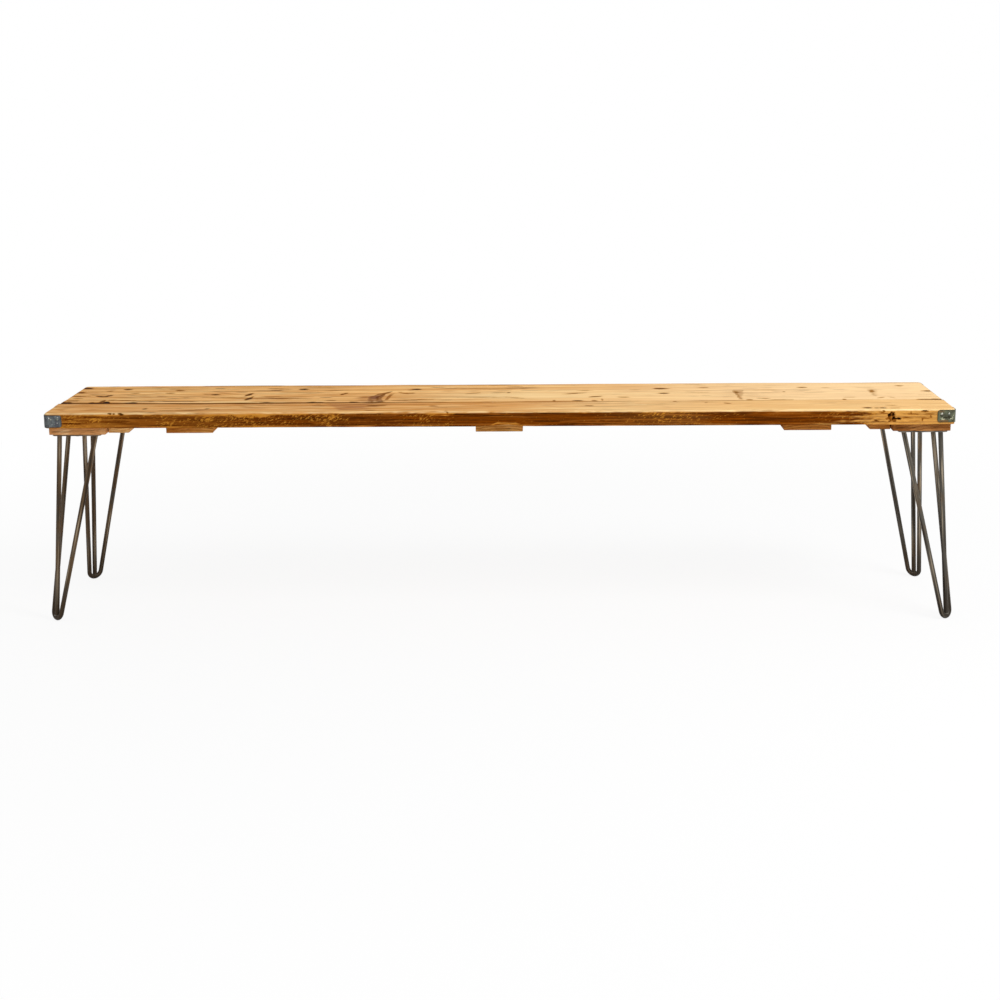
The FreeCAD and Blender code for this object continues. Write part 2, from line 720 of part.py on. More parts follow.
doc.recompute()
for item in doc.Objects:
    if "Invalid" in item.State or "Error" in item.State:
        raise RuntimeError(f"{item.Name} failed: {item.State}")
for piece in exported:
    if piece.Shape.isNull() or not piece.Shape.isValid():
        raise RuntimeError(f"{piece.Label} has no valid shape")
    if piece.TypeId == "PartDesign::Body" and len(piece.Shape.Solids) != 1:
        raise RuntimeError(f"{piece.Label} is not one solid")

os.makedirs("parts", exist_ok=True)
for piece in exported:
    piece.Shape.exportStep(f"parts/{piece.Label}.step")
    print(piece.Label, len(piece.Shape.Solids), round(piece.Shape.Volume))
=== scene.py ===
"""Plank bench on hairpin legs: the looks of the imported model.

Old softwood boards on cross battens, folded iron corner guards and three-rod hairpin legs.
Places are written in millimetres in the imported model's frame and become metres in the meshes.
"""
import math

import bmesh
import bpy
import numpy as np
from mathutils import Matrix, Vector


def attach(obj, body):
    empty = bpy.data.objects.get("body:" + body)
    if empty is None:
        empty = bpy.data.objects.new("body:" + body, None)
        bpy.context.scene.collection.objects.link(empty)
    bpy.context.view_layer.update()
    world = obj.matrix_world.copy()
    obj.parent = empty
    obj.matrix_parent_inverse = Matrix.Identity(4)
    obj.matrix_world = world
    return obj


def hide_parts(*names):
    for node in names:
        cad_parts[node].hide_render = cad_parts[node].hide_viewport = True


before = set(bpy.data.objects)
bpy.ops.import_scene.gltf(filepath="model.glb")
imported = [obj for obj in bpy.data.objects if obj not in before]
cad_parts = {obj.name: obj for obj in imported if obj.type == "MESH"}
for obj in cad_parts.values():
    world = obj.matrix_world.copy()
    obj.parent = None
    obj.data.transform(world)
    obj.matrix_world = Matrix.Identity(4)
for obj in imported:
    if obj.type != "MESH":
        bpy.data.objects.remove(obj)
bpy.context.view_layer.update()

# Front board: the narrower of the two old planks. Its top was brushed and waxed, its front edge kept the dark
# rough-sawn skin, painted darker still as the shade of the upright face, and its arris is worn round and
# chipped.
MM = 0.001
SEAT_TOP = 449.0
BOARD_BOTTOM = 417.0
FRONT_FACE = -171.0
BACK_FACE = 171.0
BOARD_END = 940.0
CORNER_RADIUS = 9.4
JOINT_RADIUS = 2.0
JOINT_FRONT = -56.0
FINE_STEPS = (0.0, 0.5, 1.1, 1.9, 2.9, 4.2, 6.0)


def linear(text):
    """An sRGB hex colour as the linear colour that sockets take."""
    parts = [int(text[place:place + 2], 16) / 255 for place in (1, 3, 5)]
    return (*[part / 12.92 if part <= 0.04045 else ((part + 0.055) / 1.055) ** 2.4 for part in parts], 1.0)


def node(tree, kind, settings={}, inputs={}):
    """Adds a node with its settings. Each input takes a value, a socket or another node's first output."""
    made = tree.nodes.new(kind)
    for name, value in settings.items():
        setattr(made, name, value)
    for name, value in inputs.items():
        socket = made.inputs[name]
        if isinstance(name, str):
            socket = next(found for found in made.inputs if found.enabled and found.name == name)
        if isinstance(value, bpy.types.Node):
            value = next(found for found in value.outputs if found.enabled)
        if isinstance(value, bpy.types.NodeSocket):
            tree.links.new(value, socket)
        else:
            socket.default_value = value
    return made


# Settings that many nodes share
SMOOTH = {"interpolation_type": "SMOOTHSTEP"}
COLOUR = {"data_type": "RGBA"}
DRAWN_OUT = {"vector_type": "TEXTURE"}
PLUS = {"operation": "ADD"}
MINUS = {"operation": "SUBTRACT"}
TIMES = {"operation": "MULTIPLY"}
TIMES_PLUS = {"operation": "MULTIPLY_ADD"}


def uneven(points, cell, seed):
    """Smooth hills and hollows from -1 to 1 over the points, a cell's length apart on each axis."""
    spot = points / np.array(cell)
    base = np.floor(spot).astype(np.int64)
    part = spot - base
    part = part * part * (3 - 2 * part)
    total = np.zeros(len(points))
    for step in np.ndindex(2, 2, 2):
        near = base + np.array(step)
        mix = near[:, 0] * 374761393 + near[:, 1] * 668265263 + near[:, 2] * 2147483647 + seed * 1274126177
        mix = ((mix ^ (mix >> 13)) * 1274126177) & 0x7FFFFFFF
        mix = ((mix ^ (mix >> 16)) * 668265263) & 0x7FFFFFFF
        height = mix / 0x3FFFFFFF - 1
        weight = np.prod(np.where(np.array(step) == 1, part, 1 - part), axis=1)
        total += height * weight
    return total


def smooth_step(values, low, high):
    """From 0 at low to 1 at high, without a kink."""
    share = np.clip((values - low) / (high - low), 0, 1)
    return share * share * (3 - 2 * share)


def follow(x, table):
    """A value along the bench, read between the (place, value) pairs of a table."""
    return np.interp(x, *np.array(table, float).T)


def grid_lines(low, high, step, fine=FINE_STEPS):
    """Places of grid lines on one side of a block, closer together towards both ends."""
    fine = np.array(fine)
    count = max(2, round((high - low - 2 * fine[-1]) / step) + 1)
    middle = np.linspace(low + fine[-1], high - fine[-1], count)
    return np.unique(np.concatenate([low + fine, middle, high - fine]).round(4))


def slab(xs, ys, zs, spare=1):
    """The skin of a block: its points, and faces that point outwards.
    Along xs, the underside keeps only every spare-th line."""
    shape = (len(xs), len(ys), len(zs))
    outside = np.zeros(shape, bool)
    outside[[0, -1]] = True
    outside[:, [0, -1]] = True
    outside[:, :, [0, -1]] = True
    kept = np.unique(np.append(np.arange(0, len(xs), spare), len(xs) - 1))
    outside[np.setdiff1d(np.arange(len(xs)), kept), 1:-1, 0] = False
    number = np.full(shape, -1)
    number[outside] = np.arange(outside.sum())
    points = np.stack(np.meshgrid(xs, ys, zs, indexing="ij"), -1)[outside]
    faces = []
    for axis in range(3):
        for end in (0, -1):
            side = np.take(number, end, axis)
            if axis == 2 and end == 0:
                side = side[kept, 1:-1]
            quads = np.stack([side[:-1, :-1], side[1:, :-1], side[1:, 1:], side[:-1, 1:]], -1).reshape(-1, 4)
            outwards = (end == -1) != (axis == 1)
            faces += (quads if outwards else quads[:, ::-1]).tolist()
    under = number[:, :, 0]
    for left, right in zip(kept[:-1], kept[1:]):
        faces.append([under[left, 1], under[right, 1], *under[left:right + 1, 0][::-1]])
        faces.append([*under[left:right + 1, -1], under[right, -2], under[left, -2]])
    return points, [[int(corner) for corner in face] for face in faces]


def soften(points, low, high, corners, top_radius, low_radius):
    """Rounds a block's upright corners in plan, then its upper and lower arrises."""
    x, y, z = points.T.copy()
    gaps = np.stack([x - low[0], high[0] - x, y - low[1], high[1] - y])
    inside = gaps.min(0)
    nearest = gaps.argmin(0)
    out_x = np.array([-1.0, 1.0, 0.0, 0.0])[nearest]
    out_y = np.array([0.0, 0.0, -1.0, 1.0])[nearest]
    for (side_x, side_y), radius in corners.items():
        centre_x = high[0] - radius if side_x > 0 else low[0] + radius
        centre_y = high[1] - radius if side_y > 0 else low[1] + radius
        a = side_x * (x - centre_x)
        b = side_y * (y - centre_y)
        here = (a > 0) & (b > 0)
        reach = np.maximum(a, b)
        length = np.maximum(np.hypot(a, b), 1e-9)
        x = np.where(here, centre_x + side_x * a * reach / length, x)
        y = np.where(here, centre_y + side_y * b * reach / length, y)
        inside = np.where(here, radius - reach, inside)
        out_x = np.where(here, side_x * a / length, out_x)
        out_y = np.where(here, side_y * b / length, out_y)
    upper = z > (low[2] + high[2]) / 2
    radius = np.where(upper, top_radius, low_radius)
    core = np.maximum(inside, radius)
    level = np.clip(z, low[2] + low_radius, high[2] - top_radius)
    outwards = core - inside
    upwards = z - level
    length = np.hypot(outwards, upwards)
    share = np.where(length > radius, radius / np.maximum(length, 1e-9), 1.0)
    shift = core - outwards * share - inside
    return np.stack([x - out_x * shift, y - out_y * shift, level + upwards * share], 1)


def mark_lines(lines, table):
    """Adds grid lines at the ends of a table's marks, so that the marks end sharply."""
    extra = []
    for start, end, half_width, *_ in table:
        left, right = min(start[0], end[0]), max(start[0], end[0])
        extra += [left - 0.6 * half_width, left, right, right + 0.6 * half_width]
    lines = np.sort(np.concatenate([lines, np.clip(extra, lines[7], lines[-8])]))
    return lines[np.append(True, np.diff(lines) > 0.3)]


def scratch(flat, ruffle, table):
    """How deep and how dark each place of a flat side is. The table gives dents and checks (start, end, half
    width, depth, darkness) that taper to their ends, with stained wood round them."""
    deep = np.zeros(len(flat))
    dark = np.zeros(len(flat))
    for start, end, half_width, depth, darkness in table:
        run = np.array(end, float) - start
        length = np.hypot(*run)
        way = run / length
        from_middle = flat - (np.array(start) + run / 2)
        along = from_middle @ way / (length / 2 + 0.6 * half_width)
        across = from_middle @ np.array((-way[1], way[0])) / half_width
        away = (np.abs(along) ** 1.5 + np.abs(across) ** 1.5) ** (2 / 3) + 0.3 * ruffle
        core = smooth_step(away, 1.2, 0.8)
        deep = np.maximum(deep, core * depth)
        dark = np.maximum(dark, darkness * (0.78 * core + 0.22 * smooth_step(away, 2.0, 1.0)))
    return deep, dark


def build(name, points, faces, material, marks={}):
    """A smooth mesh object from places in millimetres, with its marks as attributes of its points."""
    mesh = bpy.data.meshes.new(name)
    mesh.from_pydata((points * MM).tolist(), [], faces)
    for label, values in marks.items():
        mesh.attributes.new(label, "FLOAT", "POINT").data.foreach_set("value", values.astype(np.float32))
    mesh.shade_smooth()
    mesh.materials.append(material)
    piece = bpy.data.objects.new(name, mesh)
    bpy.context.scene.collection.objects.link(piece)
    return piece


def fit(piece, slot, *nodes):
    """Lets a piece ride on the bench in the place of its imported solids."""
    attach(piece, "root")
    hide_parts(*nodes)


def start_finish(name):
    """A new material, its node tree, its shader and the places on its piece."""
    material = bpy.data.materials.new(name)
    material.use_nodes = True
    tree = material.node_tree
    return material, tree, tree.nodes["Principled BSDF"], node(tree, "ShaderNodeTexCoord").outputs["Object"]


def layered(tree, noise, colour, layers):
    """A colour with layers over it: noise, where it starts and is full, strength and colour of each."""
    for label, low, high, strength, tint in layers:
        share = node(tree, "ShaderNodeMapRange", SMOOTH,
                     {"Value": noise[label], "From Min": low, "From Max": high, "To Max": strength})
        colour = node(tree, "ShaderNodeMix", COLOUR, {"Factor": share, "A": colour, "B": linear(tint)})
    return colour


def late_rings(tree, place, cloud, pith, across, wander, ring, low, high, strength):
    """The late wood of rings round a pith. Across marks the axes that cross the grain, wander is how far the
    rings stray, ring is their width, and low and high are its shares where late wood starts and is full."""
    turned = node(tree, "ShaderNodeVectorMath", MINUS, {0: place, 1: [part * MM for part in pith]})
    flat = node(tree, "ShaderNodeVectorMath", TIMES, {0: turned, 1: across})
    radius = node(tree, "ShaderNodeVectorMath", {"operation": "LENGTH"}, {0: flat}).outputs["Value"]
    wavy = node(tree, "ShaderNodeMath", TIMES_PLUS, {0: cloud, 1: wander * MM, 2: radius})
    year = node(tree, "ShaderNodeMath", {"operation": "PINGPONG"}, {0: wavy, 1: ring * MM / 2})
    start, full = ring * MM * low, ring * MM * high
    return node(tree, "ShaderNodeMapRange", SMOOTH,
                {"Value": year, "From Min": start, "From Max": full, "To Max": strength})


# Noise drawn out along the grain: length and width of its cells, detail and shift. The real fibres are
# finer than a pixel, so the bands, lines and checks are drawn coarser to show.
GRAIN = {
    "band": (900, 26, 2, 3.1), "streak": (220, 10, 3, 7.7), "thread": (90, 6, 2, 1.3),
    "cloud": (300, 130, 2, 5.5), "line": (430, 16, 2, 2.6), "pale_line": (380, 20, 2, 8.4),
    "check": (62, 7.5, 1, 9.2), "cluster": (250, 60, 1, 4.4), "fibre": (26, 0.9, 2, 6.1),
    "skin": (120, 3.2, 3, 2.2), "skin_line": (190, 4.6, 2, 0.7),
}
# Layers of the waxed top: noise, where it starts and is full, strength and colour
TOP_LAYERS = (
    ("band", 0.44, 0.66, 0.60, "#cd8b42"), ("cloud", 0.46, 0.66, 0.40, "#da9a52"),
    ("streak", 0.50, 0.66, 0.75, "#fbd490"), ("streak", 0.47, 0.33, 0.72, "#b5783a"),
    ("thread", 0.54, 0.74, 0.50, "#aa6e32"), ("thread", 0.44, 0.28, 0.40, "#ffdda0"),
)
# Lines where the rings surface: noise, width, strength and colour
RING_LINES = (("line", 0.032, 0.72, "#74410f"), ("pale_line", 0.022, 0.42, "#ffe0a4"))
# Layers of the dark sawn skin, and the size and slant of the flecks where it is brushed bare
SKIN_LAYERS = (
    ("skin", 0.44, 0.64, 0.85, "#803e02"), ("skin", 0.44, 0.32, 0.75, "#3c1b01"),
    ("skin_line", 0.57, 0.66, 0.6, "#96561a"),
)
FLECK_SIZE = (5.8 * MM, 20 * MM, 1.9 * MM)
FLECK_SLANT = math.radians(-27)


def waxed_redwood(name, base, pale, pith, ring):
    """Old redwood deal, brushed and waxed: honey bands and streaks, redder late rings, dark checks, and the
    sawn, worn, raw, stained, knotted and cracked places that its meshes mark. A dull wax, hardly glossy.
    Towards the seat's right end the wood is painted over to the pale colour, as painted light from the right."""
    material, tree, shader, place = start_finish(name)
    spot = node(tree, "ShaderNodeSeparateXYZ", {}, {"Vector": place}).outputs
    marks = ("crack", "sawn", "gold", "fleck", "worn", "stain", "knot", "raw")
    mark = {label: node(tree, "ShaderNodeAttribute", {"attribute_name": label}).outputs["Fac"]
            for label in marks}
    grain = {}
    for label, (length, width, detail, shift) in GRAIN.items():
        cell = (length * MM, width * MM, width * MM)
        drawn = node(tree, "ShaderNodeMapping", DRAWN_OUT,
                     {"Vector": place, "Location": (shift, shift, shift), "Scale": cell})
        grain[label] = node(tree, "ShaderNodeTexNoise", {},
                            {"Vector": drawn, "Scale": 1.0, "Detail": detail}).outputs["Fac"]

    # Bands, streaks and rings round a pith that runs along the plank
    wood = layered(tree, grain, linear(base), TOP_LAYERS)
    late = late_rings(tree, place, grain["cloud"], (0, *pith), (0.0, 1.0, 1.0), 30, ring, 0.27, 0.47, 1.0)
    soft_ring = node(tree, "ShaderNodeMath", TIMES, {0: late, 1: 0.34})
    wood = node(tree, "ShaderNodeMix", COLOUR, {"Factor": soft_ring, "A": wood, "B": linear("#a5622a")})

    # Painted light: the seat is painted paler towards its right end, for the light that falls from the right
    to_right = node(tree, "ShaderNodeMapRange", SMOOTH,
                    {"Value": spot["X"], "From Min": -0.1, "From Max": 0.8, "To Max": 0.72})
    wood = node(tree, "ShaderNodeMix", COLOUR, {"Factor": to_right, "A": wood, "B": linear(pale)})

    # Long dark and pale lines where the rings surface, and short checks in clusters
    calm = node(tree, "ShaderNodeMath", TIMES_PLUS, {0: to_right, 1: -0.75, 2: 1.0})
    calm = node(tree, "ShaderNodeMath", TIMES_PLUS, {0: mark["raw"], 1: -1.6, 2: calm})
    clustered = node(tree, "ShaderNodeMapRange", SMOOTH,
                     {"Value": grain["cluster"], "From Min": 0.42, "From Max": 0.60, "To Max": calm})
    for label, width, strength, colour in RING_LINES:
        middle = node(tree, "ShaderNodeMath", MINUS, {0: grain[label], 1: 0.5})
        aside = node(tree, "ShaderNodeMath", {"operation": "ABSOLUTE"}, {0: middle})
        near = node(tree, "ShaderNodeMapRange", SMOOTH,
                    {"Value": aside, "From Min": width, "From Max": 0.0, "To Max": strength})
        share = node(tree, "ShaderNodeMath", TIMES, {0: near, 1: clustered})
        wood = node(tree, "ShaderNodeMix", COLOUR, {"Factor": share, "A": wood, "B": linear(colour)})
    split = node(tree, "ShaderNodeMapRange", SMOOTH,
                 {"Value": grain["check"], "From Min": 0.65, "From Max": 0.72})
    hairline = node(tree, "ShaderNodeMath", TIMES, {0: split, 1: clustered})
    wood = node(tree, "ShaderNodeMix", COLOUR, {"Factor": hairline, "A": wood, "B": linear("#5f3410")})

    # Unwaxed sawn wood of the ends and the underside, stains, knots and the pale worn places
    ringed = node(tree, "ShaderNodeMix", COLOUR,
                  {"Factor": late, "A": linear("#b08048"), "B": linear("#7c4f24")})
    wood = node(tree, "ShaderNodeMix", COLOUR, {"Factor": mark["raw"], "A": wood, "B": ringed})
    for label, colour in (("stain", "#9c6238"), ("knot", "#67382f"), ("worn", "#ffe0a6")):
        wood = node(tree, "ShaderNodeMix", COLOUR, {"Factor": mark[label], "A": wood, "B": linear(colour)})

    # Dark sawn skin of the long edges, its own dark colour and painted shade of the upright faces, golden in
    # places, with flecks where raised fibres were brushed bare
    skin = layered(tree, grain, linear("#5b2903"), SKIN_LAYERS)
    gold = layered(tree, grain, linear("#974e08"), (("skin", 0.36, 0.60, 1.0, "#dd9439"),))
    # The golden skin is also painted paler towards the right, as the same painted light
    paled = node(tree, "ShaderNodeMath", TIMES, {0: to_right, 1: 0.6})
    gold = node(tree, "ShaderNodeMix", COLOUR, {"Factor": paled, "A": gold, "B": linear("#cfa55f")})
    skin = node(tree, "ShaderNodeMix", COLOUR, {"Factor": mark["gold"], "A": skin, "B": gold})
    slanted = node(tree, "ShaderNodeMapping", DRAWN_OUT,
                   {"Vector": place, "Rotation": (0.0, FLECK_SLANT, 0.0), "Scale": FLECK_SIZE})
    raised = node(tree, "ShaderNodeTexNoise", {},
                  {"Vector": slanted, "Scale": 1.0, "Detail": 4.0, "Roughness": 0.62})
    lifted = node(tree, "ShaderNodeMath", TIMES_PLUS, {0: mark["fleck"], 1: 0.18, 2: raised})
    bare = node(tree, "ShaderNodeMapRange", SMOOTH,
                {"Value": lifted, "From Min": 0.645, "From Max": 0.79, "To Max": 0.85})
    skin = node(tree, "ShaderNodeMix", COLOUR, {"Factor": bare, "A": skin, "B": linear("#d08a2e")})
    wood = node(tree, "ShaderNodeMix", COLOUR, {"Factor": mark["sawn"], "A": wood, "B": skin})

    # Cracks and dents: the wood round them is stained warm brown, their floors are nearly black
    stained = node(tree, "ShaderNodeMapRange", SMOOTH, {"Value": mark["crack"], "From Max": 0.55})
    wood = node(tree, "ShaderNodeMix", {**COLOUR, "blend_type": "MULTIPLY"},
                {"Factor": stained, "A": wood, "B": linear("#b0935f")})
    wood = layered(tree, mark, wood, (("crack", 0.45, 0.92, 1.0, "#210e03"),))
    tree.links.new(wood.outputs[2], shader.inputs["Base Color"])

    # Relief: hard late rings and fibres stand up, checks lie deep, bare flecks are raised on the skin
    fleck_relief = node(tree, "ShaderNodeMath", TIMES, {0: bare, 1: mark["sawn"]})
    relief = node(tree, "ShaderNodeMath", TIMES_PLUS, {0: grain["fibre"], 1: 0.6, 2: soft_ring})
    relief = node(tree, "ShaderNodeMath", TIMES_PLUS, {0: fleck_relief, 1: 1.6, 2: relief})
    relief = node(tree, "ShaderNodeMath", TIMES_PLUS, {0: hairline, 1: -1.2, 2: relief})
    bump = node(tree, "ShaderNodeBump", {}, {"Strength": 0.5, "Distance": 0.8 * MM, "Height": relief})
    tree.links.new(bump.outputs[0], shader.inputs["Normal"])
    gloss = node(tree, "ShaderNodeMapRange", {},
                 {"Value": grain["streak"], "From Min": 0.3, "From Max": 0.7, "To Min": 0.80, "To Max": 0.66})
    dull = node(tree, "ShaderNodeMath", TIMES_PLUS, {0: mark["sawn"], 1: 0.2, 2: gloss})
    tree.links.new(dull.outputs[0], shader.inputs["Roughness"])
    shader.inputs["Specular IOR Level"].default_value = 0.02
    return material


# The joint between the planks: its line as it bows along the seat, how far it gapes, and how dark it is from
# grime and from the gap's shade painted beside it
JOINT_LINE = (
    (-940, -51), (-851, -54), (-635, -59), (-422, -58), (0, -59), (469, -57), (638, -54.5), (940, -53),
)
JOINT_GAP = (
    (-940, 4.6), (-905, 3.0), (-780, 2.8), (-300, 2.4), (-100, 1.8), (200, 1.2), (700, 1.0), (900, 1.4),
    (940, 3.4),
)
JOINT_DARK = (
    (-940, 0.95), (-915, 0.8), (-800, 0.78), (-300, 0.76), (-150, 0.64), (10, 0.52), (70, 0.42), (190, 0.32),
    (400, 0.28), (430, 0.45), (550, 0.38), (730, 0.28), (880, 0.2), (892, 0.75), (940, 0.9),
)


def joint_edge(x, side):
    """Where the joint edge of the front (-1) or back (1) plank lies."""
    return follow(x, JOINT_LINE) + side * follow(x, JOINT_GAP) / 2


# Dents and checks on the top of the front plank
FRONT_CHECKS = (
    ((-742, -120), (-738, -120), 5.5, 1.4, 0.8), ((-610, -124), (-606, -124), 5.5, 1.4, 0.8),
    ((-142, -103), (-128, -104), 6, 0.8, 0.45), ((-108, -164), (-103, -166), 3, 1.2, 0.6),
    ((186, -110), (199, -111), 5, 0.8, 0.6), ((371, -60), (376, -63), 4, 0.6, 0.5),
    ((478, -84), (486, -91), 5, 0.6, 0.5), ((436, -80), (440, -80), 3.5, 0.5, 0.4),
    ((757, -149), (773, -150), 4.6, 1.2, 0.9), ((778, -151), (786, -151), 4.2, 1.0, 0.7),
    ((789, -151), (802, -152), 4.6, 1.2, 0.9), ((806, -152), (826, -153), 3.4, 0.9, 0.55),
    ((805, -122), (831, -122), 3.4, 0.5, 0.45), ((-560, -84), (-480, -82), 3.0, 0.6, 0.35),
    ((300, -96), (372, -98), 3.0, 0.5, 0.3), ((-274, -148), (-250, -147), 4.6, 0.5, 0.45),
    ((-278, -96), (-238, -97), 5.0, 0.7, 0.66), ((-690, -142), (-600, -140), 2.8, 0.4, 0.3),
)
KNOT_HOLE_LINES = np.arange(764, 905, 1.8)
xs = np.unique(np.concatenate([grid_lines(-BOARD_END, BOARD_END, 3.6), KNOT_HOLE_LINES]).round(3))
xs = mark_lines(xs, FRONT_CHECKS)
ys = grid_lines(FRONT_FACE, JOINT_FRONT, 2.8)
zs = grid_lines(BOARD_BOTTOM, SEAT_TOP, 1.25)
points, faces = slab(xs, ys, zs, 8)
rest = points.copy()
x, y, z = rest.T
line_x = np.stack([x, np.zeros(len(x)), np.zeros(len(x))], 1)
wear = 3.0 + 1.6 * uneven(line_x, (90, 1, 1), 11) + 1.2 * uneven(line_x, (17, 1, 1), 12)
chips = np.clip(uneven(line_x, (13, 1, 1), 13) - 0.55, 0, 1) * 9.0
lower_wear = 1.6 + 1.2 * np.clip(uneven(line_x, (60, 1, 1), 14), 0, 1) + uneven(line_x, (14, 1, 1), 15) ** 2
corners = {(-1, -1): CORNER_RADIUS, (1, -1): CORNER_RADIUS, (-1, 1): JOINT_RADIUS, (1, 1): JOINT_RADIUS}
by_joint = y > JOINT_FRONT - 30
top_wear = np.where(by_joint, 1.8, np.clip(wear + chips, 1.5, 8.5))
points = soften(points, (-BOARD_END, FRONT_FACE, BOARD_BOTTOM), (BOARD_END, JOINT_FRONT, SEAT_TOP), corners,
                top_wear, np.where(by_joint, 1.0, lower_wear))

# Rough front face, gently hollowed, with the log's round edge left at the lower arris in one place
IRON_EDGE = 900.0
WANE_PLACE = 17.0
WANE_HALF = 24.0
WANE_DEPTH = 4.5
WANE_RISE = 3.5
on_face = (y < FRONT_FACE + 0.01).astype(float)
clear_of_irons = smooth_step(IRON_EDGE - np.abs(x), 0, 12)
hollow = np.clip(0.8 + 0.9 * uneven(rest, (46, 9, 7), 21) + 0.7 * uneven(rest, (9, 9, 2.6), 22), 0, 3)
points[:, 1] += on_face * clear_of_irons * hollow
wane = np.exp(-((x - WANE_PLACE) / WANE_HALF) ** 2) * smooth_step(z, BOARD_BOTTOM + 11, BOARD_BOTTOM)
wane *= smooth_step(y, FRONT_FACE + 9, FRONT_FACE)
points[:, 1] += wane * WANE_DEPTH
points[:, 2] += wane * WANE_RISE
on_top = (z > SEAT_TOP - 0.01).astype(float)
points[:, 2] -= on_top * (0.35 + 0.35 * uneven(rest, (160, 30, 1), 31))
edge_shift = joint_edge(x, -1) - JOINT_FRONT
points[:, 1] += edge_shift * smooth_step(y, JOINT_FRONT - 45, JOINT_FRONT)

# Dents of the top, and the grime and painted shade of the gap along the joint: how wide it is, and down to
# which height it shows
DENT_SHARE = 0.35
JOINT_GRIME_AND_SHADE = ((-940, 8.0), (-300, 7.0), (0, 5.5), (880, 5.0), (900, 7.0))
GRIME_AND_SHADE_FLOOR = 425.0
deep, dark = scratch(rest[:, :2], uneven(rest, (9, 5, 6), 41), FRONT_CHECKS)
points[:, 2] -= DENT_SHARE * deep * on_top
crack = dark * on_top
from_joint = JOINT_FRONT - y
seam = smooth_step(from_joint, follow(x, JOINT_GRIME_AND_SHADE) + 1.6 * uneven(line_x, (24, 1, 1), 42), 1.5)
crack = np.maximum(crack, seam * follow(x, JOINT_DARK) * (z > GRIME_AND_SHADE_FLOOR))

# Knot hole in the right end of the front face: place, half width, half height, depth and darkness of its
# parts. Then the cracks and crazing round it, and chips of the arris at the left.
FACE_HOLES = (
    (811.5, 438.6, 5.6, 4.4, 4.0, 0.66), (805.0, 435.8, 4.6, 4.4, 4.0, 0.72),
    (814.6, 432.0, 3.6, 6.0, 3.5, 0.74), (817.0, 426.0, 4.6, 4.4, 3.0, 0.9),
    (823.6, 428.8, 4.8, 3.8, 3.0, 0.88), (804.2, 429.6, 3.2, 5.0, 2.5, 0.66),
    (809.0, 423.2, 4.0, 2.6, 2.0, 0.62),
)
for centre_x, centre_z, wide, tall, depth, darkness in FACE_HOLES:
    away = np.hypot((x - centre_x) / wide, (z - centre_z) / tall) + 0.5 * uneven(rest, (4, 5, 2.6), 43)
    cut = smooth_step(away, 1.1, 0.6) * on_face
    points[:, 1] += cut * depth
    crack = np.maximum(crack, cut * np.clip(darkness + 0.6 * uneven(rest, (3.6, 9, 2.8), 79), 0.15, 0.95))
FACE_CHECKS = (
    ((809, 432), (809, 425), 4.0, 0.8, 0.5), ((797, 430), (803, 429), 2.0, 0.5, 0.5),
    ((792, 446), (796, 445), 1.6, 0.5, 0.6), ((871, 445), (883, 444.8), 1.9, 1.0, 0.8),
    ((848, 445), (850, 438), 1.4, 0.6, 0.5), ((834, 439), (866, 438.6), 1.2, 0.6, 0.55),
    ((872, 438.4), (900, 438.8), 1.2, 0.6, 0.5), ((827, 430.7), (852, 430.4), 1.2, 0.6, 0.6),
    ((858, 430.6), (894, 430.2), 1.3, 0.6, 0.5), ((872, 430.5), (873, 424), 1.4, 0.6, 0.55),
    ((889, 436), (890, 431), 1.3, 0.5, 0.4), ((774, 426.8), (786, 423), 1.6, 0.8, 0.7),
    ((716, 437), (760, 436), 1.0, 0.8, 0.6), ((730, 431), (778, 430), 1.0, 0.8, 0.6),
    ((742, 441), (770, 440.5), 1.0, 0.8, 0.6), ((846, 424), (866, 424), 1.2, 0.5, 0.4),
    ((784, 443), (796, 442.5), 1.3, 0.6, 0.6), ((-901, 437), (-876, 435.4), 1.6, 0.8, 0.6),
    ((-900, 428), (-862, 426), 1.6, 0.8, 0.6), ((-858, 440), (-820, 439), 1.3, 0.8, 0.45),
    ((-804, 448), (-800, 446.5), 2.2, 1.6, 0.75), ((-795, 447.6), (-791, 447), 1.8, 1.4, 0.75),
    ((-783, 448), (-776, 446), 2.4, 1.6, 0.8), ((-104, 448), (-101, 445), 1.8, 1.2, 0.55),
)
deep, dark = scratch(rest[:, [0, 2]], 1.4 * uneven(rest, (7, 7, 4), 44), FACE_CHECKS)
points[:, 1] += deep * on_face
crack = np.maximum(crack, dark * smooth_step(y, FRONT_FACE + 6, FRONT_FACE + 1))

# Along the face: depth of the worn band below the arris, golden share of the middle, amount of flecks, top of
# the waney patch and how bare the arris is. Along the top: how much paler it is.
ARRIS_BAND = (
    (-905, 3.0), (-850, 4.5), (-800, 5), (-760, 4), (-700, 4), (-650, 5), (-600, 7), (-560, 8.5), (-500, 9),
    (-470, 6), (-440, 4), (-350, 5), (-330, 3.4), (-275, 4.4), (-175, 4.4), (-128, 7), (-95, 7), (-80, 2.6),
    (100, 2.2), (170, 3), (262, 3.4), (330, 3), (420, 3.4), (600, 3), (700, 4.5),
)
FACE_GOLD = ((-460, 0), (-340, 0.08), (-220, 0), (200, 0), (300, 0.12), (340, 0.2), (400, 0.14), (450, 0))
FLECKS = (
    (-905, 1.0), (-870, 0.85), (-850, 1.15), (-825, 1.05), (-800, 0.4), (-720, 0.4), (-685, 0.85),
    (-650, 0.6), (-615, 1.05), (-560, 1.1), (-480, 1.05), (-445, 0.8), (-400, 0.7), (-330, 0.85), (-300, 0.5),
    (-260, 0.25), (-180, 0.4), (-135, 0.85), (-95, 0.6), (-60, 0.2), (200, 0.2), (260, 0.4), (300, 0.8),
    (360, 0.75), (430, 0.65), (460, 0.4), (520, 0.2), (650, 0.25), (700, 0.6), (780, 0.6), (815, 0.35),
    (900, 0.25),
)
